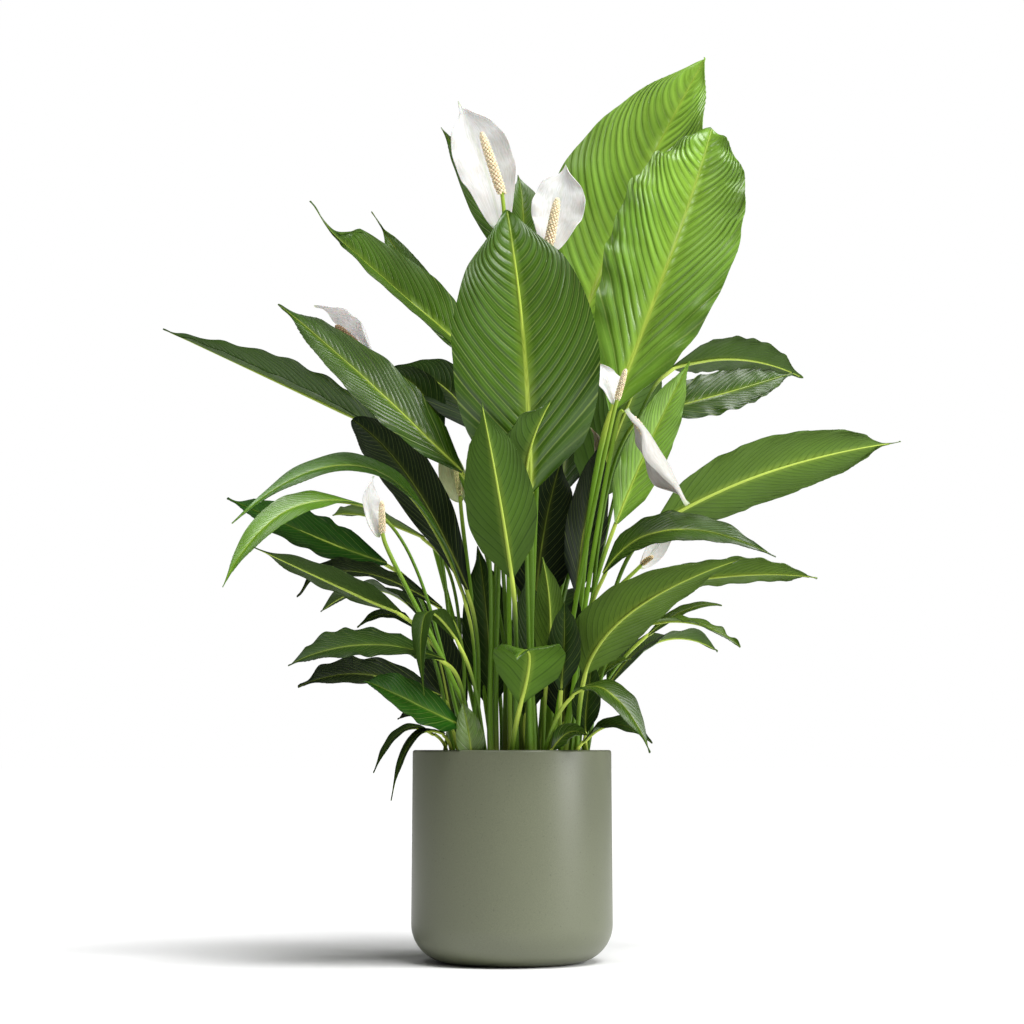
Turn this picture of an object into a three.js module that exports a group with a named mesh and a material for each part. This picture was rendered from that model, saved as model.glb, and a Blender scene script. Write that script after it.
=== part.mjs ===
// A potted peace lily: a round pot with a rounded foot, its potting soil, a clump of
// long-stalked leaves and the white-hooded flowers. Millimetres, +Z up. The origin is the
// centre of the flat underside of the pot, -Y is the front and +X is to the right.

import * as THREE from 'three';

// ---------------------------------------------------------------- driving dimensions
const POT_HEIGHT = 250;
const POT_RADIUS = 120; // at the widest place, just above the rounded foot
const RIM_INSET = 1.5; // the outside of the rim is this much narrower
const POT_WALL = 8;
const POT_FLOOR = 12;
const FOOT_ROUNDING = 46; // radius of the outer bottom corner
const RIM_ROUNDING = 3;
const POT_SIDES = 44;

const SOIL_BELOW_RIM = 28;
const CLEARANCE = 0.3; // left between pieces that touch

const PLANT_HEIGHT = 905; // tallest leaf tip above the soil
const PLANT_SPREAD = 920; // from the tip of the left-most leaf to the right-most
const CROWN_MARGIN = 24; // bare soil left between the clump of stalks and the pot

const PETIOLE_RADIUS = 3.2; // leaf stalk
const MIDRIB_DEPTH = 2.6; // keel under a blade, next to the stalk
const BLADE_THICKNESS = 1.1;
const STALK_RADIUS = 2.8; // flower stalk
const KNEE_BEND = 80; // stretch over which a leaf stalk turns into its midrib
const NECK_BEND = 25; // stretch over which a flower stalk turns into its spadix
const SPADIX_RADIUS = 6; // of the large flowers
const SPADIX_SLENDERNESS = 10; // a small spadix is this many radii long
const SPATHE_THICKNESS = 1.2;

const PETIOLE_STEPS = 8;
const BLADE_STEPS = 10;
const SPATHE_STEPS = 7;
const SPADIX_SIDES = 7;

const RIM_RADIUS = POT_RADIUS - RIM_INSET;
const SOIL_TOP = POT_HEIGHT - SOIL_BELOW_RIM;
const CROWN_RADIUS = POT_RADIUS - POT_WALL - CROWN_MARGIN; // all the stalks stand inside

// The plant below is drawn at this height, spread and crown; the ratios resize it.
const DRAWN_HEIGHT = 905;
const DRAWN_SPREAD = 920;
const DRAWN_CROWN = 88;
const CROWN_FADE = 500; // height above the soil, as drawn, at which the crown's size stops mattering
const RISE = PLANT_HEIGHT / DRAWN_HEIGHT;
const REACH = PLANT_SPREAD / DRAWN_SPREAD;
const CROWN = CROWN_RADIUS / DRAWN_CROWN;

// ---------------------------------------------------------------- colours
const LEAF_GREEN = 0x3f7a2c;
const YOUNG_GREEN = 0x6fa83a;
const STALK_GREEN = 0x7fa851;
const SPATHE_WHITE = 0xf4f2ec;
const SPADIX_CREAM = 0xe9dcae;
const POT_SAGE = 0x7d8a70;
const SOIL_BROWN = 0x33261c;

const plant = new THREE.Group();

function piece(name, geometry, color, roughness) {
  const material = new THREE.MeshStandardMaterial({ color, roughness, metalness: 0 });
  const mesh = new THREE.Mesh(geometry, material);
  mesh.name = name;
  plant.add(mesh);
  return mesh;
}

// ---------------------------------------------------------------- pot and soil

function corner(cx, cy, radius, from, to, steps) {
  const points = [];
  for (let i = 0; i <= steps; i += 1) {
    const angle = from + ((to - from) * i) / steps;
    points.push(new THREE.Vector2(cx + radius * Math.cos(angle), cy + radius * Math.sin(angle)));
  }
  return points;
}

function turned(profile) {
  const geometry = new THREE.LatheGeometry(profile, POT_SIDES);
  geometry.rotateX(Math.PI / 2);
  return geometry;
}

// Radius of the outer wall at a height above the rounded foot.
function wallRadius(z) {
  const share = (z - FOOT_ROUNDING) / (POT_HEIGHT - FOOT_ROUNDING);
  return POT_RADIUS + (RIM_RADIUS - POT_RADIUS) * share;
}

function potProfile() {
  const inner = FOOT_ROUNDING - POT_WALL;
  const inset = POT_RADIUS - FOOT_ROUNDING;
  const lip = POT_HEIGHT - RIM_ROUNDING;
  const right = 0;
  const down = -Math.PI / 2;
  return [
    new THREE.Vector2(0, 0),
    ...corner(inset, FOOT_ROUNDING, FOOT_ROUNDING, down, right, 6),
    ...corner(RIM_RADIUS - RIM_ROUNDING, lip, RIM_ROUNDING, right, -down, 3),
    ...corner(RIM_RADIUS - POT_WALL + RIM_ROUNDING, lip, RIM_ROUNDING, -down, Math.PI, 3),
    ...corner(inset, POT_FLOOR + inner, inner, right, down, 4),
    new THREE.Vector2(0, POT_FLOOR),
  ];
}

function soilProfile() {
  const inner = FOOT_ROUNDING - POT_WALL - CLEARANCE;
  const inset = POT_RADIUS - FOOT_ROUNDING;
  const floor = POT_FLOOR + CLEARANCE;
  return [
    new THREE.Vector2(0, floor),
    ...corner(inset, floor + inner, inner, -Math.PI / 2, 0, 4),
    new THREE.Vector2(wallRadius(SOIL_TOP) - POT_WALL - CLEARANCE, SOIL_TOP),
    new THREE.Vector2(0, SOIL_TOP),
  ];
}

piece('pot', turned(potProfile()), POT_SAGE, 0.45);
piece('soil', turned(soilProfile()), SOIL_BROWN, 0.95);

// ---------------------------------------------------------------- swept plant pieces

// Near the soil the plant is as wide as its crown; higher up it takes its own spread.
function spreadAt(z) {
  const share = THREE.MathUtils.clamp(z / CROWN_FADE, 0, 1);
  return CROWN + (REACH - CROWN) * share;
}

// A place on the plant: x and y from the middle of the pot, z above the soil.
function place([x, y, z]) {
  const spread = spreadAt(z);
  return new THREE.Vector3(x * spread, y * spread, SOIL_TOP + z * RISE);
}

function footOnSoil([x, y]) {
  return new THREE.Vector3(x * CROWN, y * CROWN, SOIL_TOP + CLEARANCE);
}

// A curve through the two ends that passes the middle point half-way.
function archThrough(start, middle, end) {
  const handle = middle.clone().multiplyScalar(2).addScaledVector(start, -0.5).addScaledVector(end, -0.5);
  return new THREE.QuadraticBezierCurve3(start, handle, end);
}

// A stalk that leaves the soil steeply and bends, over the last stretch, into a direction.
function stalkCurve(foot, top, arrival, bend) {
  const along = top.clone().sub(foot);
  const length = along.length();
  const departure = along.normalize().add(new THREE.Vector3(0, 0, 0.5)).normalize();
  const lower = foot.clone().addScaledVector(departure, length * 0.4);
  const upper = top.clone().addScaledVector(arrival, -Math.min(bend, length * 0.3));
  return new THREE.CubicBezierCurve3(foot, lower, upper, top);
}

// Points and directions along a curve, without the last point unless asked.
function stations(curve, steps, withLast) {
  const list = [];
  const count = withLast ? steps : steps - 1;
  for (let i = 0; i <= count; i += 1) {
    const share = i / steps;
    list.push({ share, point: curve.getPoint(share), ahead: curve.getTangent(share) });
  }
  return list;
}

// The stations of a stalk, the first of them level with the soil.
function stalkStations(curve, withLast) {
  const list = stations(curve, PETIOLE_STEPS, withLast);
  list[0].ahead.set(0, 0, 1);
  return list;
}

// Gives each station a side direction, carried without twist from the station
// that is turned to face the given way.
function orient(list, reference, faces) {
  const facing = new THREE.Vector3(...faces).normalize();
  list[reference].side = list[reference].ahead.clone().cross(facing).normalize();
  const carry = (from, to) => {
    const { side } = list[from];
    const { ahead } = list[to];
    list[to].side = side.clone().addScaledVector(ahead, -side.dot(ahead)).normalize();
  };
  for (let i = reference + 1; i < list.length; i += 1) carry(i - 1, i);
  for (let i = reference - 1; i >= 0; i -= 1) carry(i + 1, i);
  list.forEach((station) => {
    station.up = station.side.clone().cross(station.ahead).normalize();
  });
}

// Joins rings of points, with a pole at each end, into one closed body.
function sweep(start, rings, end) {
  const sides = rings[0].length;
  const positions = [start, ...rings.flat(), end].flatMap((p) => [p.x, p.y, p.z]);
  const index = [];
  const at = (ring, k) => 1 + ring * sides + (k % sides);
  const last = 1 + rings.length * sides;
  for (let k = 0; k < sides; k += 1) {
    index.push(0, at(0, k + 1), at(0, k));
    for (let r = 0; r < rings.length - 1; r += 1) {
      index.push(at(r, k), at(r, k + 1), at(r + 1, k + 1));
      index.push(at(r, k), at(r + 1, k + 1), at(r + 1, k));
    }
    index.push(at(rings.length - 1, k), at(rings.length - 1, k + 1), last);
  }
  const geometry = new THREE.BufferGeometry();
  geometry.setAttribute('position', new THREE.Float32BufferAttribute(positions, 3));
  geometry.setIndex(index);
  geometry.computeVertexNormals();
  return geometry;
}

// Four points round a station: left edge, upper side, right edge, under side.
function bladeRing(station, halfWidth, above, below, fold) {
  const out = halfWidth * Math.cos(fold);
  const lift = halfWidth * Math.sin(fold);
  const move = (sideways, upwards) => station.point.clone()
    .addScaledVector(station.side, sideways)
    .addScaledVector(station.up, upwards);
  return [move(-out, lift), move(0, above), move(out, lift), move(0, -below)];
}

// Outline of a leaf or a spathe: 0 at both ends, 1 at its widest place.
function outline(share, heelPower, tipPower) {
  const widest = heelPower / (heelPower + tipPower);
  const peak = widest ** heelPower * (1 - widest) ** tipPower;
  return (share ** heelPower * (1 - share) ** tipPower) / peak;
}

// A leaf grown as one piece: its stalk and its blade, folded up a little along the midrib.
function leaf(name, root, heel, crest, tip, width, faces, foldDegrees = 12) {
  const bladeCurve = archThrough(place(heel), place(crest), place(tip));
  const petioleCurve = stalkCurve(footOnSoil(root), place(heel), bladeCurve.getTangent(0), KNEE_BEND);
  const petiole = stalkStations(petioleCurve, false);
  const blade = stations(bladeCurve, BLADE_STEPS, false);
  const all = [...petiole, ...blade];
  orient(all, petiole.length + Math.round(BLADE_STEPS * 0.4), faces);
  const rings = all.map((station, i) => {
    const share = i < petiole.length ? 0 : station.share;
    const halfWidth = Math.max(PETIOLE_RADIUS, (width / 2) * outline(share, 0.62, 0.95));
    const spread = Math.min(1, share * 6);
    const above = PETIOLE_RADIUS + (BLADE_THICKNESS / 2 - PETIOLE_RADIUS) * spread;
    const keel = MIDRIB_DEPTH + (BLADE_THICKNESS - MIDRIB_DEPTH) * share;
    const below = PETIOLE_RADIUS + (keel - PETIOLE_RADIUS) * spread;
    return bladeRing(station, halfWidth, above, below, THREE.MathUtils.degToRad(foldDegrees) * spread);
  });
  const green = name.startsWith('upper') ? YOUNG_GREEN : LEAF_GREEN;
  piece(name, sweep(petiole[0].point, rings, bladeCurve.v2), green, 0.4);
}

// The soft white hood of a flower, cupped towards the way it faces.
function spathe(name, base, crest, tip, width, faces, cupDegrees) {
  const curve = archThrough(base, crest, tip);
  const list = stations(curve, SPATHE_STEPS, false).slice(1);
  orient(list, 2, faces);
  const rings = list.map((station) => {
    const halfWidth = (width / 2) * outline(station.share, 0.6, 0.8);
    const half = SPATHE_THICKNESS / 2;
    return bladeRing(station, halfWidth, half, half, THREE.MathUtils.degToRad(cupDegrees));
  });
  piece(name, sweep(base, rings, curve.v2), SPATHE_WHITE, 0.6);
}

function roundRing(station, radius, sides) {
  const points = [];
  for (let k = 0; k < sides; k += 1) {
    const angle = (-2 * Math.PI * k) / sides;
    points.push(station.point.clone()
      .addScaledVector(station.side, radius * Math.cos(angle))
      .addScaledVector(station.up, -radius * Math.sin(angle)));
  }
  return points.reverse();
}

// A flower: its stalk, the spadix standing on it and the spathe behind the spadix.
function flower(name, root, neck, spadixTop, drop, crest, tip, width, faces, cupDegrees = 20) {
  const top = place(neck);
  const spadixAxis = place(spadixTop).sub(top).normalize();
  const curve = stalkCurve(footOnSoil(root), top, spadixAxis, NECK_BEND);
  const stalk = stalkStations(curve, true);
  orient(stalk, stalk.length - 1, faces);
  const stalkRings = stalk.map((station) => bladeRing(station, STALK_RADIUS, STALK_RADIUS, STALK_RADIUS, 0));
  piece(`${name}_stalk`, sweep(stalk[0].point, stalkRings, top), STALK_GREEN, 0.5);

  const seat = top.clone().addScaledVector(spadixAxis, CLEARANCE);
  const spadixLine = new THREE.LineCurve3(seat, place(spadixTop));
  const spadix = stations(spadixLine, 5, false).slice(1);
  orient(spadix, 0, faces);
  const radius = Math.min(SPADIX_RADIUS, spadixLine.getLength() / SPADIX_SLENDERNESS);
  const bulge = [0.85, 1, 0.97, 0.8];
  const spadixRings = spadix.map((station, i) => roundRing(station, radius * bulge[i], SPADIX_SIDES));
  piece(`${name}_spadix`, sweep(seat, spadixRings, spadixLine.v2), SPADIX_CREAM, 0.8);

  const behind = new THREE.Vector3(...faces).normalize().multiplyScalar(-(STALK_RADIUS + SPATHE_THICKNESS + 1));
  const base = top.clone().add(new THREE.Vector3(0, 0, -drop * RISE)).add(behind);
  spathe(`${name}_spathe`, base, place(crest), place(tip), width, faces, cupDegrees);
}

// ---------------------------------------------------------------- leaves
// name, foot on the soil [x, y], heel of the blade, middle of the midrib and tip
// [x, y, z above the soil], width of the blade, the way its upper side faces, fold in degrees

leaf('upper_leaf_1', [42, 52], [78, 100, 535], [152, 125, 720], [246, 115, 905], 200, [-0.45, -1, 0.3], 20);
leaf('upper_leaf_2', [66, 14], [120, 0, 435], [200, 10, 645], [248, 40, 795], 160, [-0.15, -1, 0.2], 14);
leaf('upper_leaf_3', [22, -46], [22, -72, 330], [14, -85, 505], [-6, -60, 670], 176, [0, -1, 0.1], 8);
leaf('upper_leaf_4', [-8, 50], [-6, 70, 642], [-38, 85, 725], [-90, 95, 810], 46, [-0.5, -1, 0.2]);
leaf('upper_leaf_5', [14, 64], [6, 85, 585], [14, 100, 680], [8, 120, 755], 66, [0.2, -1, 0.3]);

leaf('left_leaf_1', [-18, 12], [-50, 0, 505], [-138, -20, 580], [-250, -45, 675],
  86, [0.35, -0.7, 0.6], 30);
leaf('left_leaf_2', [-26, 34], [-45, 45, 508], [-102, 50, 583], [-175, 60, 695], 42, [0.1, -0.9, 0.5]);
leaf('left_leaf_3', [-54, 27], [-150, 72, 417], [-300, 116, 492], [-446, 160, 564],
  78, [0.15, -0.4, 0.9], 32);
leaf('left_leaf_4', [-24, -34], [-60, -60, 355], [-170, -105, 458], [-270, -150, 540],
  72, [-0.1, -0.8, 0.6], 15);
leaf('left_leaf_5', [2, 30], [-40, 50, 415], [-92, 100, 485], [-156, 160, 513], 75, [-0.2, -0.6, 0.8]);
leaf('left_leaf_6', [-40, 10], [-55, 15, 220], [-120, 30, 350], [-195, 30, 430], 64, [0.6, -0.8, 0.3]);
leaf('left_leaf_7', [-44, -12], [-55, -15, 200], [-164, -68, 357], [-320, -155, 286], 46, [0.1, -0.2, 1]);
leaf('left_leaf_8', [-48, -32], [-170, -90, 310], [-258, -150, 300], [-325, -200, 210], 42, [0, -0.3, 1]);
leaf('left_leaf_9', [-66, 12], [-152, 0, 250], [-250, -55, 286], [-332, -100, 320], 62, [-0.2, -0.8, 0.55]);
leaf('left_leaf_10', [-54, 53], [-110, 76, 288], [-176, 110, 318], [-226, 140, 323], 55, [0, 0.3, 1]);
leaf('left_leaf_11', [-64, -32], [-130, -90, 185], [-215, -150, 222], [-290, -200, 255], 50, [0, 0.4, 1]);
leaf('left_leaf_12', [-58, -12], [-85, -20, 195], [-175, -60, 235], [-250, -110, 220], 60, [0, -0.5, 0.9]);
leaf('left_leaf_13', [-28, -62], [-62, -122, 150], [-98, -168, 180], [-98, -205, 88], 30, [-0.3, -0.3, 1]);

leaf('low_leaf_1', [-46, -52], [-80, -110, 130], [-165, -190, 145], [-245, -260, 120],
  66, [-0.1, -0.65, 0.75]);
leaf('low_leaf_2', [-82, -10], [-85, -40, 90], [-170, -80, 115], [-245, -130, 100], 60, [0, -0.6, 0.8]);
leaf('low_leaf_3', [-46, -70], [-60, -90, 55], [-120, -150, 85], [-165, -200, 105], 60, [-0.3, -0.85, 0.5]);
leaf('low_leaf_4', [-68, -50], [-80, -66, 45], [-115, -85, 40], [-140, -95, -30], 22, [-0.4, -0.3, 0.8]);
leaf('low_leaf_5', [30, -76], [70, -115, 90], [112, -150, 92], [155, -190, 25], 46, [0.2, -0.5, 0.8]);

leaf('centre_leaf_1', [4, -62], [0, -120, 225], [-15, -150, 320], [-35, -160, 425], 82, [0, 1, 0.15]);
leaf('centre_leaf_2', [22, -67], [15, -112, 335], [22, -128, 380], [45, -138, 430], 70, [-0.8, 0.6, 0], 35);
leaf('centre_leaf_3', [56, -58], [57, -97, 98], [60, -120, 153], [60, -132, 198], 40, [0, -1, 0.2]);
leaf('centre_leaf_4', [36, -22], [42, -34, 120], [45, -44, 190], [36, -48, 255], 38, [0, 1, 0.1]);
leaf('centre_leaf_5', [-4, -80], [10, -105, 80], [20, -150, 135], [5, -200, 130], 84, [0, 0.8, 0.6]);

leaf('right_leaf_1', [74, -46], [85, -85, 115], [137, -140, 186], [255, -230, 240], 80, [-0.3, 0.9, 0.35]);
leaf('right_leaf_2', [82, 24], [175, 40, 300], [315, 80, 370], [490, 130, 415], 84, [0.1, 0.9, 0.45]);
leaf('right_leaf_3', [66, -26], [110, -50, 235], [185, -80, 285], [305, -120, 250], 56, [0, -0.7, 0.7]);
leaf('right_leaf_4', [84, 2], [155, -20, 220], [270, -40, 235], [360, -60, 230], 60, [0, 0.5, 0.9]);
leaf('right_leaf_5', [84, -22], [145, -70, 170], [205, -110, 175], [260, -150, 145], 42, [0.1, -0.2, 1]);
leaf('right_leaf_6', [60, 50], [203, 120, 506], [291, 180, 528], [383, 260, 516], 72, [0, 0.6, 0.8]);
leaf('right_leaf_7', [76, 42], [172, 40, 440], [268, 60, 468], [350, 80, 495], 64, [-0.1, -0.9, 0.45]);
leaf('right_leaf_8', [56, -8], [125, 0, 300], [170, 0, 405], [215, -10, 495], 56, [0.2, -1, 0.1]);

leaf('back_leaf_1', [34, 76], [60, 150, 345], [75, 230, 450], [80, 330, 510], 80, [0, -0.3, 1]);
leaf('back_leaf_2', [64, 64], [60, 150, 200], [70, 225, 235], [75, 300, 215], 70, [0.1, -0.2, 1]);
leaf('back_leaf_3', [8, 76], [-6, 160, 295], [-28, 230, 355], [-55, 320, 335], 76, [0, -0.2, 1]);
leaf('back_leaf_4', [-10, 82], [-24, 130, 160], [-42, 200, 190], [-60, 280, 165], 70, [0, -0.2, 1]);

// ---------------------------------------------------------------- flowers
// name, foot on the soil, top of the stalk, top of the spadix, how far below that the
// spathe starts, middle and tip of the spathe, its width, the way it faces, cupping

flower('flower_1', [-2, -18], [-12, -15, 700], [-37, -5, 778], 46,
  [-35, 22, 745], [-66, 25, 825], 76, [0.1, -1, 0.1]);
flower('flower_2', [18, -8], [44, -20, 633], [55, -20, 693], 6,
  [56, 6, 683], [66, 10, 743], 68, [0, -1, 0.2]);
flower('flower_3', [-30, 66], [-176, 100, 514], [-220, 95, 557], 2,
  [-198, 118, 568], [-249, 110, 585], 50, [-0.5, -0.3, -0.6]);
flower('flower_4', [-28, -48], [-150, -120, 278], [-150, -135, 313], 4,
  [-166, -130, 308], [-160, -130, 343], 34, [0.8, -0.6, 0.2]);
flower('flower_5', [44, -36], [125, -50, 443], [135, -60, 478], 4,
  [114, -45, 463], [105, -40, 488], 40, [0.6, -0.8, 0.3]);
flower('flower_6', [60, -40], [131, -70, 427], [140, -78, 386], 0,
  [168, -86, 387], [205, -95, 313], 44, [-1, -0.1, -0.4], 50);

export default plant;
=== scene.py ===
"""A potted peace lily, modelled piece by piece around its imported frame.

The leaves, stalks and flowers take their places, sizes and folds from the frame's solids. Each
one gets its real surface here: quilted blades with sunken veins, channelled stalks, cupped
hoods and knobbly spadices. Sizes are in metres.
"""

import math
import random
from typing import NamedTuple

import bpy
import numpy as np
from mathutils import Matrix, Vector, noise


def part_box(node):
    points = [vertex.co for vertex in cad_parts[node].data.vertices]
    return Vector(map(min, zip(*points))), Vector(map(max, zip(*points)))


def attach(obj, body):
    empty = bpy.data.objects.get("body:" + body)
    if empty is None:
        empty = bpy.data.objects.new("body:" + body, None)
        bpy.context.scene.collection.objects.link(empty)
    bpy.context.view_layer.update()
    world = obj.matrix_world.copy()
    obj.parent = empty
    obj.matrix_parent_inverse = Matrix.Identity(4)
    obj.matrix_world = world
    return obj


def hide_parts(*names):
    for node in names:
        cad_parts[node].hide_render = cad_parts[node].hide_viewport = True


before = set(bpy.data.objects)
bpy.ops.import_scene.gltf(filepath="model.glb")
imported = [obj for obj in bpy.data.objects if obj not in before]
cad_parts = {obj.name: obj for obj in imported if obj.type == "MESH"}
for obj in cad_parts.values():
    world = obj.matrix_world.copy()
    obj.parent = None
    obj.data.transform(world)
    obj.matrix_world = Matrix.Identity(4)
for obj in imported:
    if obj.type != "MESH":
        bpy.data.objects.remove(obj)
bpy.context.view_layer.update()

bl_info = {
    "name": "Potted Peace Lily",
    "version": (1, 0, 0),
    "blender": (4, 5, 0),
    "location": "View3D > Sidebar > Peace Lily",
    "description": "Models a peace lily with its leaves, flowers, soil and pot",
    "category": "Add Mesh",
}

SOIL_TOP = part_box("soil")[1][2]
POT_LOW, POT_HIGH = (Vector(corner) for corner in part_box("pot"))
BODY = "root"


def srgb(red, green, blue):
    """Linear colour of three 0-255 screen values."""
    def linear(value):
        value /= 255
        return value / 12.92 if value <= 0.04045 else ((value + 0.055) / 1.055) ** 2.4
    return (linear(red), linear(green), linear(blue))


def rgba(red, green, blue):
    return (*srgb(red, green, blue), 1.0)


# ---------------- settings a user may change

class PEACELILY_PG_foliage(bpy.types.PropertyGroup):
    """Sizes and looks that all the leaves share."""
    blade_thickness: bpy.props.FloatProperty(
        name="Blade thickness", description="Thickness of a leaf blade",
        default=0.0009, min=0.0004, unit="LENGTH")
    quilting: bpy.props.FloatProperty(
        name="Quilting", description="How far the blade swells between two veins of a broad leaf",
        default=0.0010, min=0.0, unit="LENGTH")
    vein_spacing: bpy.props.FloatProperty(
        name="Vein spacing", description="Distance between the side veins along the midrib",
        default=0.0150, min=0.004, unit="LENGTH")
    vein_sweep: bpy.props.FloatProperty(
        name="Vein sweep", description="How far the side veins run towards the tip",
        default=0.82, min=0.0, max=0.9, subtype="FACTOR")
    petiole_radius: bpy.props.FloatProperty(
        name="Petiole radius", description="Radius of a leaf stalk half-way up",
        default=0.0034, min=0.001, unit="LENGTH")
    midrib_radius: bpy.props.FloatProperty(
        name="Midrib radius", description="Radius of the midrib at the heel of the blade",
        default=0.0029, min=0.001, unit="LENGTH")
    pale_rib: bpy.props.FloatVectorProperty(
        name="Rib colour", description="Colour of the midribs and knees",
        default=srgb(180, 200, 78), size=3, min=0.0, max=1.0, subtype="COLOR")
    stalk_green: bpy.props.FloatVectorProperty(
        name="Stalk colour", description="Colour of the leaf stalks",
        default=srgb(104, 146, 26), size=3, min=0.0, max=1.0, subtype="COLOR")


class PEACELILY_PG_flowers(bpy.types.PropertyGroup):
    """Sizes and looks of the flowers."""
    spathe_thickness: bpy.props.FloatProperty(
        name="Spathe thickness", description="Thickness of the white hood",
        default=0.0009, min=0.0004, unit="LENGTH")
    floret_radius: bpy.props.FloatProperty(
        name="Floret radius", description="Radius of one floret on a large spadix",
        default=0.0021, min=0.0005, unit="LENGTH")
    spathe_white: bpy.props.FloatVectorProperty(
        name="Spathe colour", description="Colour of the hoods",
        default=srgb(208, 208, 207), size=3, min=0.0, max=1.0, subtype="COLOR")
    spadix_cream: bpy.props.FloatVectorProperty(
        name="Spadix colour", description="Colour of the spadices",
        default=srgb(234, 220, 188), size=3, min=0.0, max=1.0, subtype="COLOR")


class PEACELILY_PG_pot(bpy.types.PropertyGroup):
    """Finish of the pot and its soil."""
    glaze: bpy.props.FloatVectorProperty(
        name="Glaze colour", description="Colour of the satin glaze",
        default=srgb(97, 101, 80), size=3, min=0.0, max=1.0, subtype="COLOR")
    sides: bpy.props.IntProperty(
        name="Sides", description="Steps round the pot", default=144, min=32)


# ---------------- helpers for modelling

WELD_DISTANCE = 1e-6
MAP_NAME = "Growth"
TINT_NAME = "Tint"


def clear_selection():
    if bpy.context.object and bpy.context.object.mode != "OBJECT":
        bpy.ops.object.mode_set(mode="OBJECT")
    bpy.ops.object.select_all(action="DESELECT")


def pick(*objects):
    clear_selection()
    for item in objects:
        item.select_set(True)
    bpy.context.view_layer.objects.active = objects[0]


def settle(piece, name, material_slot, *nodes):
    """Names a finished piece and ties it to the frame."""
    piece.name = name
    piece.data.name = name
    if nodes:
        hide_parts(*nodes)
    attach(piece, BODY)
    return piece


def add_sheet(across, along):
    """A flat grid, one unit square. Its own map keeps where each point was on it."""
    clear_selection()
    bpy.ops.mesh.primitive_grid_add(x_subdivisions=across, y_subdivisions=along, size=1)
    sheet = bpy.context.object
    sheet.data.uv_layers[0].name = MAP_NAME
    return sheet


def flat_coordinates(sheet):
    """Sideways from -1 to 1 and lengthways from 0 to 1, for each point of a new sheet."""
    points = np.empty(len(sheet.data.vertices) * 3)
    sheet.data.vertices.foreach_get("co", points)
    points = points.reshape(-1, 3)
    return points[:, 0] * 2, points[:, 1] + 0.5


def move_points(sheet, points):
    sheet.data.vertices.foreach_set("co", np.asarray(points, dtype=np.float32).ravel())
    sheet.data.update()


def paint(piece, colors, strength=1.0):
    """Stores a colour at each point, with the strength of its markings."""
    tint = piece.data.color_attributes.new(TINT_NAME, "FLOAT_COLOR", "POINT")
    rgba = np.ones((len(piece.data.vertices), 4), dtype=np.float32)
    rgba[:, :3] = colors
    rgba[:, 3] = strength
    tint.data.foreach_set("color", rgba.ravel())


def blend(colors, other, amount):
    """Mixes another colour into each point's colour."""
    return colors + (np.array(other) - colors) * amount[:, None]


def stretch_map(piece, factor):
    """Makes the lengthwise map coordinate count in steps instead of from 0 to 1."""
    layer = piece.data.uv_layers[MAP_NAME].data
    values = np.empty(len(layer) * 2, dtype=np.float32)
    layer.foreach_get("uv", values)
    values[1::2] *= factor
    layer.foreach_set("uv", values)


def thicken(sheet, thickness, under_offset):
    pick(sheet)
    wall = sheet.modifiers.new("Wall", "SOLIDIFY")
    wall.thickness = thickness
    wall.offset = -1
    wall.material_offset = under_offset
    bpy.ops.object.modifier_apply(modifier=wall.name)


def weld(piece, closed=False):
    """Merges the points that meet. A closed piece then has its faces turned outwards."""
    pick(piece)
    bpy.ops.object.mode_set(mode="EDIT")
    bpy.ops.mesh.select_all(action="SELECT")
    bpy.ops.mesh.remove_doubles(threshold=WELD_DISTANCE)
    if closed:
        bpy.ops.mesh.normals_make_consistent(inside=False)
    bpy.ops.object.mode_set(mode="OBJECT")


def smooth(piece, degrees=60):
    pick(piece)
    bpy.ops.object.shade_smooth_by_angle(angle=math.radians(degrees))


def join(*parts):
    pick(*parts)
    bpy.ops.object.join()
    return bpy.context.object


def wobble(x, y, seed, scale=1.0):
    """Smooth noise between about -1 and 1 for arrays of coordinates."""
    return np.array([noise.noise((a * scale, b * scale, seed)) for a, b in zip(x, y)])


# ---------------- reading the frame

STALK_SLACK = 1.05


def unit(vectors):
    return vectors / np.linalg.norm(vectors, axis=-1, keepdims=True)


def layers_of(node, start, sides=4):
    """Points of a swept CAD solid, as its start pole, its rings and its end pole."""
    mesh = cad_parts[node].data
    places, alias, index = [], [], {}
    for vertex in mesh.vertices:
        key = tuple(round(value, 5) for value in vertex.co)
        if key not in index:
            index[key] = len(places)
            places.append(np.array(vertex.co))
        alias.append(index[key])
    links = [set() for _ in places]
    for edge in mesh.edges:
        a, b = (alias[i] for i in edge.vertices)
        if a != b:
            links[a].add(b)
            links[b].add(a)
    poles = [i for i in range(len(places)) if len(links[i]) == sides]
    first = min(poles, key=lambda i: np.linalg.norm(places[i] - np.array(start)))
    seen, layer, layers = {first}, {first}, []
    while layer:
        layers.append(sorted(layer))
        layer = {j for i in layer for j in links[i]} - seen
        seen |= layer
    return places, links, layers


class Skeleton:
    """The midrib line of a leaf or hood, with its sideways and upward directions."""

    def __init__(self, stem, blade, up, width, fold):
        self.width = width
        self.fold = fold
        self.stem = stem
        self.share = np.linspace(0, 1, 201)
        self.point = curve_through(blade, self.share)
        self.ahead = unit(np.gradient(self.point, axis=0))
        lift = curve_through(up, self.share)
        lift -= self.ahead * np.sum(lift * self.ahead, axis=1, keepdims=True)
        self.up = unit(lift)
        self.side = np.cross(self.ahead, self.up)
        self.length = np.sum(np.linalg.norm(np.diff(self.point, axis=0), axis=1))

    def at(self, values, share):
        return between(values, self.share, share)

    def surface(self, share, out, lift):
        """Places at some way along the midrib, out to its side and lifted off it."""
        aside = self.at(self.side, share) * out[:, None] + self.at(self.up, share) * lift[:, None]
        return self.at(self.point, share) + aside


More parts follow.
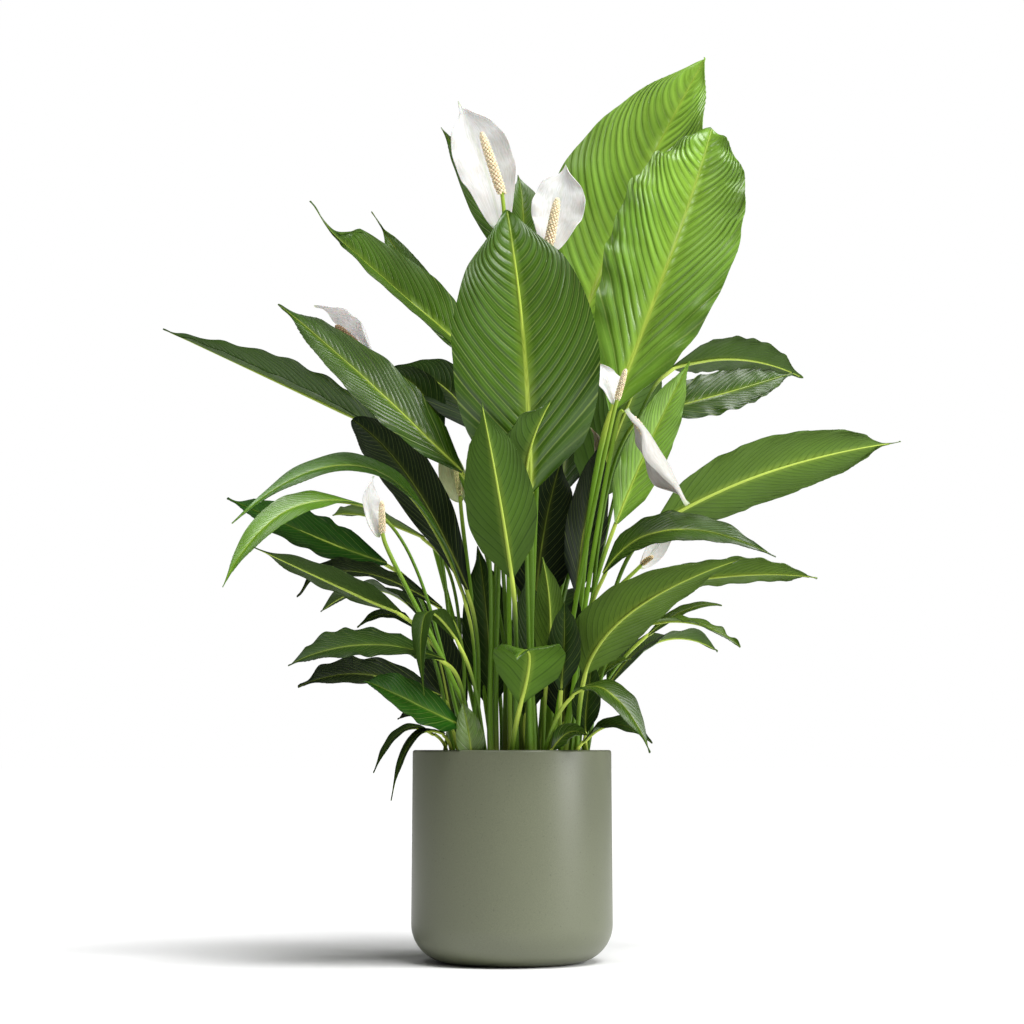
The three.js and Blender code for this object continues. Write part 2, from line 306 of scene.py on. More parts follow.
def between(values, known, share):
    """Vectors at some share of a line, from those known along it."""
    return np.stack([np.interp(share, known, values[:, k]) for k in range(3)], axis=-1)


def curve_through(knots, share):
    """Points of a smooth curve through evenly spaced knots (Catmull-Rom)."""
    knots = np.asarray(knots, dtype=float)
    spans = len(knots) - 1
    padded = np.vstack([2 * knots[0] - knots[1], knots, 2 * knots[-1] - knots[-2]])
    place = np.clip(np.asarray(share) * spans, 0, spans - 1e-9)
    i = place.astype(int)
    f = (place - i)[:, None]
    a, b, c, d = (padded[i + k] for k in range(4))
    return 0.5 * (2 * b + (c - a) * f + (2 * a - 5 * b + 4 * c - d) * f ** 2
                  + (3 * b - a - 3 * c + d) * f ** 3)


def opposite_pairs(layer, links):
    """Splits a ring of four points into its two pairs of opposite ones."""
    near = layer[0]
    far = next(i for i in layer if i != near and i not in links[near])
    return (near, far), tuple(i for i in layer if i not in (near, far))


def towards(vector, guide):
    return vector if np.dot(vector, guide) > 0 else -vector


def span_of(pair, places):
    return places[pair[1]] - places[pair[0]]


def middle_of(pair, places):
    return sum(places[i] for i in pair) / 2


class Ribbon:
    """The rings of a swept CAD leaf or hood, each with its margins and its upper and lower side."""

    def __init__(self, places, rings):
        gaps = [[np.linalg.norm(places[a] - places[b]) for a, b in ring] for ring in rings]
        self.widest = max(range(len(rings)), key=lambda r: max(gaps[r]))
        first, second = gaps[self.widest]
        edges, middle = rings[self.widest] if first > second else rings[self.widest][::-1]
        self.margins = middle_of(edges, places)
        rise = self.margins - middle_of(middle, places)
        self.across = {self.widest: span_of(edges, places)}
        self.upward = {self.widest: towards(span_of(middle, places), rise)}
        self.low, self.high = {}, {}
        self.keep_sides(self.widest, middle, places)
        for r in range(self.widest + 1, len(rings)):
            self.follow(r, r - 1, rings[r], places)
        for r in range(self.widest - 1, -1, -1):
            self.follow(r, r + 1, rings[r], places)

    def follow(self, r, neighbour, ring, places):
        """Turns a ring the way its neighbour is turned."""
        guide = unit(self.across[neighbour])
        edges, middle = sorted(ring, key=lambda pair: -abs(np.dot(unit(span_of(pair, places)), guide)))
        self.across[r] = towards(span_of(edges, places), self.across[neighbour])
        self.upward[r] = towards(span_of(middle, places), self.upward[neighbour])
        self.keep_sides(r, middle, places)

    def keep_sides(self, r, middle, places):
        low, high = sorted(middle, key=lambda i: np.dot(places[i], self.upward[r]))
        self.low[r], self.high[r] = places[low], places[high]


def read_skeleton(node, start, stalked=True):
    """Recovers the midrib line, the facing and the width of a CAD leaf or hood."""
    places, links, layers = layers_of(node, start)
    count = len(layers) - 2
    ribbon = Ribbon(places, [opposite_pairs(layer, links) for layer in layers[1:-1]])
    widths = [np.linalg.norm(ribbon.across[r]) for r in range(count)]
    heel = max([r for r in range(ribbon.widest) if widths[r] <= widths[1] * STALK_SLACK], default=0)
    stem = [(ribbon.low[r] + ribbon.high[r]) / 2 for r in range(heel + 1)]
    blade = [ribbon.high[r] for r in range(heel, count)] + [places[layers[-1][0]]]
    up = [unit(ribbon.upward[r]) for r in range(heel, count)]
    if not stalked:
        blade.insert(0, places[layers[0][0]])
        up.insert(0, up[0])
    up.append(up[-1])
    half = widths[ribbon.widest] / 2
    rise = ribbon.margins - ribbon.high[ribbon.widest]
    fold = math.atan2(np.dot(rise, unit(ribbon.upward[ribbon.widest])), half)
    return Skeleton(np.array(stem), np.array(blade), np.array(up), half / math.cos(fold) * 2, fold)


def sweep_skeleton(foot, heel, crest, tip, faces, width, fold_degrees):
    """A skeleton for a leaf that the frame leaves out, through four places of its own."""
    foot, heel, crest, tip = (np.array(place, dtype=float) for place in (foot, heel, crest, tip))
    share = np.linspace(0, 1, 11)[:, None]
    blade = (heel * (1 - share) * (1 - 2 * share) + crest * 4 * share * (1 - share)
             + tip * share * (2 * share - 1))
    ahead = unit(np.gradient(blade, axis=0))
    knee = heel - ahead[0] * np.linalg.norm(heel - foot) * 0.4
    rise = foot + np.array((0, 0, 1)) * np.linalg.norm(heel - foot) * 0.35
    share = np.linspace(0, 1, 9)[:, None]
    stem = (foot * (1 - share) ** 3 + rise * 3 * share * (1 - share) ** 2
            + knee * 3 * share ** 2 * (1 - share) + heel * share ** 3)
    up = np.tile(unit(np.array(faces, dtype=float)), (11, 1))
    return Skeleton(stem, blade, up, width, math.radians(fold_degrees))


# ---------------- tubes: stalks, ribs, cores

def roll_tube(centres, side, up, across, upward, channel, around):
    """A closed tube along a row of centres. Its channel runs along the side that faces up."""
    rows = len(centres) - 1
    tube = add_sheet(around, rows)
    turn, along = flat_coordinates(tube)
    row = np.rint(along * rows).astype(int)
    angle = turn * math.pi
    dip = 1 - channel[row] * np.exp(-(angle / 0.6) ** 2)
    points = centres[row] + side[row] * (np.sin(angle) * across[row])[:, None]
    points += up[row] * (np.cos(angle) * upward[row] * dip)[:, None]
    move_points(tube, points)
    return tube, row


def frames_along(centres, side):
    """Directions sideways and up along a line, kept close to the given sideways one."""
    ahead = unit(np.gradient(centres, axis=0))
    side = unit(side - ahead * np.sum(ahead * side, axis=1, keepdims=True))
    return side, np.cross(side, ahead)


def ease(value, start, end):
    """Rises softly from 0 to 1 between two values."""
    step = np.clip((value - start) / (end - start), 0, 1)
    return step * step * (3 - 2 * step)


# ---------------- leaves

# The two palest greens are young leaf green brightened with painted light shining through the upper
# blades.
PALE_BACKLIT_GREEN = srgb(136, 180, 62)
YOUNG_BACKLIT_GREEN = srgb(112, 154, 48)
BROAD_GREEN = srgb(62, 96, 16)
LEAF_GREEN = srgb(46, 76, 9)
SHADED_GREEN = srgb(37, 63, 8)
# The two darkest greens are dark leaf green with painted shade added, for leaves that sit in shade.
DARK_SHADE_GREEN = srgb(24, 48, 4)
DEEP_SHADE_GREEN = srgb(10, 26, 5)
BOTTLE_GREEN = srgb(22, 66, 2)
OLIVE_GREEN = srgb(66, 94, 20)
FRESHER = np.array((2.5, 2.1, 2.0))
BASE_BROWN = srgb(122, 116, 62)
ROWS_PER_VEIN = 6
STEM_ROWS = 30
RIB_ROWS = 40
STALK_SINK = 0.012
KNEE_LENGTH = 0.03
FULL_WIDTH = 0.15
BREADTH_LIMIT = 1.2
FEWEST_VEINS = 8
WIDE_COLUMNS = 24
NARROW_COLUMNS = 18
RIB_COLUMNS = 2
RIB_RISE = 0.0004
HEEL_HALF_WIDTH = 0.0022
STALK_SIDES = 12


class LeafLook(NamedTuple):
    """How one leaf differs from the others. The powers, tail and drip shape its outline."""
    green: tuple = LEAF_GREEN
    wave: float = 0.07
    ripples: float = 4.0
    heel_power: float = 0.62
    tip_power: float = 0.95
    tail: float = 0.5  # how far the last part narrows
    curl: float = 0.0  # how far the tip hangs
    quilt: float = 1.0
    lean: float = 0.0  # degrees that the face leans to the front
    broad: float = 1.0
    drip: float = 1.1  # where the blade draws in to a thread, past 1 for none


def settle_habit(bones, how):
    """Leans a leaf's face to the front, broadens it and lets its tip hang, as its look says."""
    bones.width *= how.broad
    turn = math.radians(how.lean) * ease(bones.share, 0.05, 0.35) * np.sign(bones.side[100, 1])
    up = bones.up * np.cos(turn)[:, None] - bones.side * np.sin(turn)[:, None]
    bones.side = np.cross(bones.ahead, up)
    bones.up = up
    hang = how.curl * bones.width / 2 * ease(bones.share, 0.8, 1.0) ** 2
    bones.point = bones.point - bones.up * hang[:, None]


LEAF_LOOKS = {
    "upper_leaf_1": LeafLook(PALE_BACKLIT_GREEN, 0.06, 5, 0.62, 0.8, 0.3, quilt=1.7),
    "upper_leaf_2": LeafLook(YOUNG_BACKLIT_GREEN, 0.11, 8, 0.66, 0.72, 0.2, quilt=1.9),
    "upper_leaf_3": LeafLook(BROAD_GREEN, 0.03, 3, 0.62, 0.8, 0.3, quilt=1.4),
    "upper_leaf_4": LeafLook(BROAD_GREEN, 0.05),
    "upper_leaf_5": LeafLook(BROAD_GREEN, 0.05),
    "left_leaf_1": LeafLook(BROAD_GREEN, 0.05, 5, curl=-0.35, drip=0.84, tip_power=0.8),
    "left_leaf_2": LeafLook(BROAD_GREEN, 0.05, drip=0.9, lean=20),
    "left_leaf_3": LeafLook(SHADED_GREEN, 0.05, 7),
    "left_leaf_4": LeafLook(LEAF_GREEN, 0.06, 6, quilt=1.5),
    "left_leaf_5": LeafLook(DARK_SHADE_GREEN, 0.08),
    "left_leaf_6": LeafLook(DEEP_SHADE_GREEN, 0.05, 4, 0.7, 0.5, 0.2, lean=25),
    "left_leaf_7": LeafLook(srgb(64, 110, 14), 0.06, 5, heel_power=0.9, lean=22, broad=0.95),
    "left_leaf_8": LeafLook(srgb(86, 130, 24), 0.05, 5, lean=20),
    "left_leaf_9": LeafLook(BOTTLE_GREEN, 0.1, 6, quilt=1.3),
    "left_leaf_10": LeafLook(OLIVE_GREEN, 0.08),
    "left_leaf_11": LeafLook(DARK_SHADE_GREEN, 0.08),
    "left_leaf_12": LeafLook(DEEP_SHADE_GREEN, 0.1, 5, curl=0.6),
    "left_leaf_13": LeafLook(SHADED_GREEN, 0.06),
    "low_leaf_1": LeafLook(DARK_SHADE_GREEN, 0.1, 6, quilt=1.2),
    "low_leaf_2": LeafLook(DEEP_SHADE_GREEN, 0.1, 5),
    "low_leaf_3": LeafLook(BOTTLE_GREEN, 0.09),
    "low_leaf_4": LeafLook(DARK_SHADE_GREEN, 0.05),
    "low_leaf_5": LeafLook(LEAF_GREEN, 0.08),
    "centre_leaf_1": LeafLook(LEAF_GREEN, 0.05, 4, 0.75, 1.0, 0.7),
    "centre_leaf_2": LeafLook(LEAF_GREEN, 0.06),
    "centre_leaf_3": LeafLook(DARK_SHADE_GREEN, 0.05),
    "centre_leaf_4": LeafLook(OLIVE_GREEN, 0.04),
    "centre_leaf_5": LeafLook(BROAD_GREEN, 0.06),
    "right_leaf_1": LeafLook(OLIVE_GREEN, 0.05, 5),
    "right_leaf_2": LeafLook(srgb(60, 88, 19), 0.075, 9, 0.7, 0.8, 0.3, drip=0.93),
    "right_leaf_3": LeafLook(LEAF_GREEN, 0.08, 7),
    "right_leaf_4": LeafLook(OLIVE_GREEN, 0.06, 7, drip=0.92),
    "right_leaf_5": LeafLook(OLIVE_GREEN, 0.14, 5),
    "right_leaf_6": LeafLook(SHADED_GREEN, 0.07, 7),
    "right_leaf_7": LeafLook(LEAF_GREEN, 0.12, 8),
    "right_leaf_8": LeafLook(YOUNG_BACKLIT_GREEN, 0.09, 6),
    "back_leaf_1": LeafLook(LEAF_GREEN, 0.08, 5),
    "back_leaf_2": LeafLook(DARK_SHADE_GREEN, 0.08, 5),
    "back_leaf_3": LeafLook(LEAF_GREEN, 0.08, 5),
    "back_leaf_4": LeafLook(DARK_SHADE_GREEN, 0.08, 5),
}


def outline(share, heel_power, tip_power):
    """Half-width along a blade, from 0 at its ends to 1 at its widest place."""
    widest = heel_power / (heel_power + tip_power)
    peak = widest ** heel_power * (1 - widest) ** tip_power
    share = np.clip(share, 0, 1)
    return share ** heel_power * (1 - share) ** tip_power / peak


class Blade:
    """A sheet on its way to a leaf blade, with what the shaping steps know of each point."""

    def __init__(self, bones, how, seed, foliage):
        self.how = how
        self.seed = seed
        self.foliage = foliage
        self.half_width = bones.width / 2
        self.breadth = min(BREADTH_LIMIT, bones.width / FULL_WIDTH)
        spacings = bones.length / foliage.vein_spacing
        self.veins = max(FEWEST_VEINS, round(spacings / (0.6 + 0.4 * self.breadth)))
        columns = WIDE_COLUMNS if self.breadth > 0.7 else NARROW_COLUMNS
        self.sheet = add_sheet(columns, self.veins * ROWS_PER_VEIN)
        self.across, self.row = flat_coordinates(self.sheet)
        self.edge = np.sign(self.across)
        self.outward = np.abs(self.across)
        self.step = np.rint(self.outward * (columns // 2))
        sweep = foliage.vein_sweep * self.row ** 0.35 * (1 - self.row)
        sweep = sweep * (0.6 * self.outward + 0.4 * self.outward ** 2)
        self.share = np.clip(self.row + sweep, 0, 1)
        self.half = self.measure_half()
        self.reach = self.measure_reach(columns // 2 - RIB_COLUMNS)
        self.part = self.reach / np.maximum(self.half, 1e-6)
        self.fold = bones.fold * ease(self.share, 0, 0.2)
        crowded = ease(self.row, 0.68, 0.93) * self.outward
        self.roomy = ease(self.half / self.half_width, 0.1, 0.4) * (1 - 0.85 * crowded)
        # Leaves with a green this dark, the painted-shade greens among them, get the low-gloss face and
        # dimmer rib and veins.
        self.dull = sum(how.green) < sum(LEAF_GREEN) * 0.7

    def measure_half(self):
        """Half-width beside each point, drawn in towards the tip, with an uneven margin."""
        how = self.how
        half = self.half_width * outline(self.share, how.heel_power, how.tip_power)
        half *= 1 - how.tail * ease(self.share, 0.78, 0.97)
        half *= 1 - 0.82 * ease(self.share, how.drip - 0.05, how.drip)
        half = np.maximum(half, HEEL_HALF_WIDTH * (1 - ease(self.share, 0.0, 0.08)))
        ripple = wobble(self.share * how.ripples * 2, self.edge * 3.7, self.seed + 0.5)
        return half * (1 + 0.05 * ripple * ease(self.share, 0.05, 0.2))

    def measure_reach(self, columns):
        """Distance from each point to the midrib, whose own columns stay close together."""
        rib = self.foliage.midrib_radius * self.breadth * (1 - 0.75 * self.share)
        rib = np.minimum(rib, self.half * 0.25)
        spread = (np.clip(self.step - RIB_COLUMNS, 0, None) / columns) ** 0.95
        spread = rib * 1.3 + (self.half - rib * 1.3) * spread
        return np.where(self.step < RIB_COLUMNS, rib * 0.6 * self.step, spread)

    def measure_lift(self):
        """Height over the midrib, from the fold, the waves, the quilting and the raised rib."""
        how, share, part, seed = self.how, self.share, self.part, self.seed
        lift = self.half * np.sin(self.fold) * (1.5 * part - 0.5 * part ** 2)
        wave = 0.5 * np.sin(2 * math.pi * (how.ripples * share + 0.31 * self.edge + seed * 0.37))
        wave += 1.3 * wobble(share * how.ripples * 2.1, self.edge * 5.1, seed + 2.5)
        lift += how.wave * self.half_width * wave * part ** 2.5 * ease(share, 0.04, 0.3)
        lift += 0.05 * self.half * wobble(share * 4, self.across * 1.5, seed + 7.5)
        swell = np.abs(np.sin(math.pi * self.row * self.veins)) ** 0.7
        cell = np.floor(self.row * self.veins) * 1.7
        swell *= 0.75 + 0.7 * wobble(cell, self.edge * 2.3 + self.across, seed + 9.5)
        inside = ease(part, 0.02, 0.18) * (1 - 0.8 * ease(part, 0.8, 1.0))
        lift += self.foliage.quilting * how.quilt * self.breadth * swell * inside * self.roomy
        return lift + self.on_rib(RIB_RISE, -RIB_RISE)

    def on_rib(self, inner, outer):
        """One value on the midrib, another on its two border columns and 0 elsewhere."""
        return np.where(self.step < RIB_COLUMNS, inner, 0) + np.where(self.step == RIB_COLUMNS, outer, 0)

    def mix_colors(self):
        """Mottled green, fresher near the midrib, with the midrib itself pale."""
        green = np.array(self.how.green)
        shade = 1.05 + 0.25 * wobble(self.share * 5, self.across * 2, self.seed + 4.5)
        shade -= 0.2 * ease(self.part, 0.5, 1.0)
        patches = ease(wobble(self.share * 3, self.across, self.seed + 14.5), 0.0, 0.5)
        fresh = 0.30 * (1 - self.part) ** 2 + 0.16 * patches
        colors = blend(green * shade[:, None], np.clip(green * FRESHER, 0, 1), fresh)
        pale = self.on_rib(0.95, 0.25) * (1 - 0.5 * self.share)
        return blend(colors, self.foliage.pale_rib, pale * (0.4 if self.dull else 1.0))

    def mark_veins(self):
        """How strongly the veins show: not on the midrib or where they crowd."""
        return self.roomy * (self.step > RIB_COLUMNS) * (0.5 if self.dull else 1.0)


def grow_blade(bones, how, seed, foliage):
    """The blade of one leaf, quilted between its side veins, with a wavy margin."""
    blade = Blade(bones, how, seed, foliage)
    sheet = blade.sheet
    out = blade.edge * blade.reach * np.cos(blade.fold)
    move_points(sheet, bones.surface(blade.share, out, blade.measure_lift()))
    paint(sheet, blade.mix_colors(), blade.mark_veins())
    stretch_map(sheet, blade.veins)
    sheet.data.materials.append(dull_face_material() if blade.dull else leaf_face_material())
    sheet.data.materials.append(leaf_back_material())
    weld(sheet)
    thicken(sheet, foliage.blade_thickness, 1)
    return sheet


def trace_stalk(bones, breadth, foliage):
    """The line of a leaf stalk that runs on as the rib under the blade, and its directions."""
    lower = curve_through(bones.stem, np.linspace(0, 1, STEM_ROWS + 1))
    lower[0] -= (0, 0, STALK_SINK)
    share = np.linspace(0, 0.985, RIB_ROWS + 1)[1:]
    rib = foliage.midrib_radius * breadth * (1 - 0.8 * share)
    sunk = rib * 0.55 + foliage.blade_thickness * 0.7
    under = bones.at(bones.point, share) - bones.at(bones.up, share) * sunk[:, None]
    centres = np.vstack([lower, under])
    side, up = frames_along(centres, bones.side[0])
    side[STEM_ROWS + 1:] = bones.at(bones.side, share)
    up[STEM_ROWS + 1:] = bones.at(bones.up, share)
    return centres, side, up, rib


def grow_stalk(bones, how, seed, foliage):
    """The stalk of one leaf, sheathing at its foot, with its pale knee and the rib under the blade."""
    breadth = min(1.15, max(0.6, bones.width / FULL_WIDTH * 0.55 + 0.5))
    centres, side, up, rib = trace_stalk(bones, breadth, foliage)
    height = np.concatenate([[0], np.cumsum(np.linalg.norm(np.diff(centres, axis=0), axis=1))])
    knee = height[STEM_ROWS]
    share = height / knee
    sheath = 1 - ease(share, 0.08, 0.42)
    radius = foliage.petiole_radius * breadth * (1.12 - 0.25 * np.clip(share, 0, 1))
    radius *= 1 + 0.18 * np.exp(-((height - knee + 0.6 * KNEE_LENGTH) / KNEE_LENGTH) ** 2)
    radius[STEM_ROWS + 1:] = rib
    radius[0] = radius[-1] = 0
    channel = 0.35 * (share < 1) + 0.2 * sheath
    stalk, row = roll_tube(centres, side, up, radius * (1 + 0.75 * sheath),
                           radius * (1 - 0.1 * sheath), channel, STALK_SIDES)
    tone = np.array(foliage.stalk_green) * (0.8 + 0.2 * np.sin(seed * 2.1))
    # The stalk takes in part of its leaf's green, with any painted light and shade in that green.
    tone = tone * 0.6 + np.array(how.green) * 0.4
    pale = np.exp(-((height - knee) / (KNEE_LENGTH * 1.1)) ** 2)
    pale = np.maximum(pale, 0.75 * (height > knee))
    colors = blend(np.tile(tone, (len(row), 1)), foliage.pale_rib, pale[row])
    colors = blend(colors, BASE_BROWN, (0.6 * (1 - ease(share, 0.02, 0.16)))[row])
    paint(stalk, colors)
    stalk.data.materials.append(stalk_material())
    weld(stalk, closed=True)
    return stalk


def grow_leaf(name, bones, how, seed, foliage, *nodes):
    settle_habit(bones, how)
    blade = grow_blade(bones, how, seed, foliage)
    stalk = grow_stalk(bones, how, seed, foliage)
    leaf = join(blade, stalk)
    smooth(leaf)
    return settle(leaf, name, "leaf", *nodes)


SMALL_LEAVES = {
    "rim_leaf_1": (
        (-0.04, -0.085), (-0.046, -0.094, 0.236), (-0.05, -0.097, 0.270), (-0.058, -0.1, 0.308),
        0.034, (0.2, -1, 0.1), LeafLook(OLIVE_GREEN)),
    "rim_leaf_2": (
        (0.07, -0.07), (0.082, -0.09, 0.259), (0.118, -0.115, 0.279), (0.160, -0.135, 0.258),
        0.040, (0, -0.45, 1), LeafLook(DARK_SHADE_GREEN, 0.1)),
    "rim_leaf_3": (
        (0.035, -0.088), (0.046, -0.096, 0.250), (0.066, -0.104, 0.270), (0.088, -0.112, 0.266),
        0.026, (0.2, -0.8, 0.7), LeafLook(LEAF_GREEN)),
    "rim_leaf_4": (
        (-0.06, -0.055), (-0.056, -0.072, 0.262), (-0.09, -0.092, 0.290), (-0.132, -0.112, 0.286),
        0.048, (-0.2, -0.5, 0.9), LeafLook(DEEP_SHADE_GREEN, 0.1)),
    "rim_leaf_5": (
        (-0.075, -0.04), (-0.090, -0.06, 0.268), (-0.128, -0.08, 0.272), (-0.160, -0.1, 0.224),
        0.022, (-0.4, -0.4, 0.8), LeafLook(DARK_SHADE_GREEN)),
    "young_leaf_1": (
        (0.09, -0.04), (0.086, -0.052, 0.270), (0.089, -0.056, 0.315), (0.096, -0.06, 0.358),
        0.036, (-0.3, -1, 0), LeafLook(DARK_SHADE_GREEN)),
    "young_leaf_2": (
        (0.08, -0.01), (0.098, -0.03, 0.330), (0.118, -0.04, 0.350), (0.140, -0.05, 0.357),
        0.020, (0, -0.6, 0.8), LeafLook(OLIVE_GREEN)),
    "young_leaf_3": (
        (0.085, 0.0), (0.160, -0.05, 0.385), (0.205, -0.06, 0.414), (0.246, -0.07, 0.419),
        0.022, (0, -0.5, 0.8), LeafLook(OLIVE_GREEN)),
    "young_leaf_4": (
        (-0.06, 0.0), (-0.115, 0.0, 0.396), (-0.150, -0.005, 0.412), (-0.185, -0.01, 0.396),
        0.024, (0, -0.5, 0.8), LeafLook(DARK_SHADE_GREEN)),
    "young_leaf_5": (
        (0.0, 0.045), (-0.085, 0.06, 0.640), (-0.122, 0.08, 0.702), (-0.166, 0.1, 0.716),
        0.046, (-0.2, -0.8, 0.6), LeafLook(DARK_SHADE_GREEN)),
    "inner_leaf_1": (
        (0.03, 0.035), (0.028, 0.05, 0.420), (0.040, 0.06, 0.520), (0.062, 0.07, 0.610),
        0.080, (0, -1, 0.1), LeafLook(DEEP_SHADE_GREEN)),
    "inner_leaf_2": (
        (0.06, 0.03), (0.078, 0.03, 0.440), (0.092, 0.04, 0.540), (0.112, 0.05, 0.632),
        0.054, (0.4, -1, 0.1), LeafLook(DEEP_SHADE_GREEN)),
    "inner_leaf_3": (
        (-0.02, 0.045), (-0.026, 0.055, 0.300), (-0.030, 0.06, 0.400), (-0.042, 0.07, 0.500),
        0.066, (0, -1, 0.1), LeafLook(DARK_SHADE_GREEN)),
    "inner_leaf_4": (
        (0.02, 0.015), (0.016, 0.02, 0.290), (0.022, 0.02, 0.380), (0.018, 0.02, 0.465),
        0.056, (0.2, -1, 0.1), LeafLook(DARK_SHADE_GREEN)),
    "inner_leaf_5": (
        (0.06, 0.0), (0.062, 0.0, 0.280), (0.066, 0.0, 0.360), (0.080, 0.0, 0.440),
        0.060, (-0.3, -1, 0.1), LeafLook(DEEP_SHADE_GREEN)),
    "inner_leaf_6": (
        (-0.06, 0.02), (-0.072, 0.01, 0.280), (-0.085, 0.015, 0.350), (-0.105, 0.02, 0.425),
        0.056, (0.3, -1, 0.2), LeafLook(DEEP_SHADE_GREEN)),
    "far_leaf_1": (
        (0.0, 0.06), (0.0, 0.11, 0.600), (0.0, 0.15, 0.740), (0.02, 0.21, 0.850),
        0.120, (0, 0.6, 0.8), LeafLook(BROAD_GREEN, 0.05)),
    "far_leaf_2": (
        (0.04, 0.06), (0.10, 0.12, 0.560), (0.145, 0.16, 0.680), (0.19, 0.19, 0.780),
        0.100, (0.2, 0.7, 0.7), LeafLook(LEAF_GREEN, 0.06)),
    "far_leaf_3": (
        (-0.05, 0.06), (-0.10, 0.14, 0.400), (-0.17, 0.20, 0.455), (-0.25, 0.26, 0.430),
        0.070, (-0.2, 0.3, 0.9), LeafLook(DARK_SHADE_GREEN, 0.08)),
    "far_leaf_4": (
        (0.06, 0.07), (0.12, 0.14, 0.330), (0.19, 0.21, 0.390), (0.27, 0.28, 0.380),
        0.078, (0.2, 0.3, 0.9), LeafLook(LEAF_GREEN, 0.08)),
}
SMALL_FOLD = 12.0
SMALL_LEAF_SEED = 60


# ---------------- materials

MOTTLE_SHADE = (0.6, 0.72, 0.5, 1)
# Multiplied in beside the veins of the leaf face as painted shade of the furrows.
FURROW_PAINTED_SHADE = (0.34, 0.42, 0.3, 1)
VEIN_GREEN = rgba(176, 200, 100)
BACK_GREEN = rgba(88, 112, 44)
# Multiplied in along the veins of the leaf back as painted shade of the grooves.
BACK_GROOVE_PAINTED_SHADE = (0.3, 0.36, 0.26, 1)
FLECK_GREEN = rgba(176, 190, 120)
SPATHE_VEIN_SHADE = (0.76, 0.77, 0.71, 1)
SPATHE_CLOUD_SHADE = (0.84, 0.83, 0.81, 1)
FLORET_SHADE = (0.88, 0.8, 0.66, 1)
FLORET_PATCH_SHADE = (0.86, 0.8, 0.62, 1)
CRUMB_DARK = rgba(30, 21, 15)
CRUMB_LIGHT = rgba(86, 64, 46)
LUMP_BROWN = rgba(44, 31, 22)
BARK_TONES = (rgba(58, 38, 24), rgba(132, 96, 62))
PERLITE_TONES = (rgba(186, 180, 168), rgba(244, 242, 236))
VEIN_WIDTH = 0.085  # half of it, in steps from one vein to the next
BACK_VEIN_WIDTH = 0.1


class Finish:
    """A node material under construction."""

    def __init__(self, name, roughness, **settings):
        self.material = bpy.data.materials.new(name)
        self.material.use_nodes = True
        self.tree = self.material.node_tree
        self.shader = self.tree.nodes["Principled BSDF"]
        self.shader.inputs["Roughness"].default_value = roughness
        for socket, value in settings.items():
            self.shader.inputs[socket.replace("_", " ")].default_value = value

    def node(self, kind, values=(), **settings):
        made = self.tree.nodes.new("ShaderNode" + kind)
        for key, value in settings.items():
            setattr(made, key, value)
        for socket, value in dict(values).items():
            if isinstance(value, bpy.types.NodeSocket):
                self.tree.links.new(value, made.inputs[socket])
            else:
                made.inputs[socket].default_value = value
        return made

    def math(self, operation, first, second=0.0):
        return self.node("Math", {0: first, 1: second}, operation=operation).outputs[0]

    def mix(self, factor, first, second, blend_type="MIX"):
        sockets = {0: factor, 6: first, 7: second}
        return self.node("Mix", sockets, data_type="RGBA", blend_type=blend_type).outputs[2]

    def darken(self, base, pattern, low, high, amount, color):
        """Multiplies a colour in where a pattern rises between two values."""
        return self.mix(self.span(pattern, low, high, 0.0, amount), base, color, "MULTIPLY")

    def scaled(self, value, factor):
        return self.math("MULTIPLY", value, factor)

    def sum(self, first, second):
        return self.math("ADD", first, second)

    def span(self, value, low, high, out_low=0.0, out_high=1.0):
        return self.node("MapRange", {0: value, 1: low, 2: high, 3: out_low, 4: out_high}).outputs[0]

    def noise(self, scale, detail=2.0, vector=None, rough=0.5):
        vector = vector or self.node("TexCoord").outputs["Object"]
        return self.node("TexNoise", {"Vector": vector, "Scale": scale, "Detail": detail,
                                      "Roughness": rough}).outputs["Fac"]

    def tint(self):
        return self.node("Attribute", attribute_name=TINT_NAME).outputs["Color"]

    def strength(self):
        return self.node("Attribute", attribute_name=TINT_NAME).outputs["Alpha"]

    def growth(self):
        """The growth map's two coordinates, across a piece and along it."""
        return self.node("SeparateXYZ", {0: self.node("UVMap", uv_map=MAP_NAME).outputs[0]}).outputs

    def drawn_out(self, growth, across, along):
        """The growth map at another scale, for noise that runs along a piece."""
        return self.node("CombineXYZ", {0: self.scaled(growth[0], across),
                                        1: self.scaled(growth[1], along)}).outputs[0]

    def color(self, socket):
        self.tree.links.new(socket, self.shader.inputs["Base Color"])

    def rough(self, socket):
        self.tree.links.new(socket, self.shader.inputs["Roughness"])

    def bump(self, height, strength, distance=0.001):
        made = self.node("Bump", {"Height": height, "Strength": strength, "Distance": distance})
        self.tree.links.new(made.outputs[0], self.shader.inputs["Normal"])


def made_once(build):
    """Keeps the material that a function makes, so that each is made once."""
    kept = []

    def material():
        if not kept:
            kept.append(build())
        return kept[0]
    return material


def gray(value):
    return (value, value, value, 1.0)


def vein_lines(finish, growth, width):
    """How far a point lies on a side vein, from 0 to 1."""
    strong = finish.span(finish.math("PINGPONG", growth[1], 0.5), 0.0, width, 1.0, 0.0)
    fine = finish.span(finish.math("PINGPONG", growth[1], 0.1667), 0.0, width * 0.6, 0.35, 0.0)
    return finish.math("MULTIPLY", finish.math("MAXIMUM", strong, fine), finish.strength())


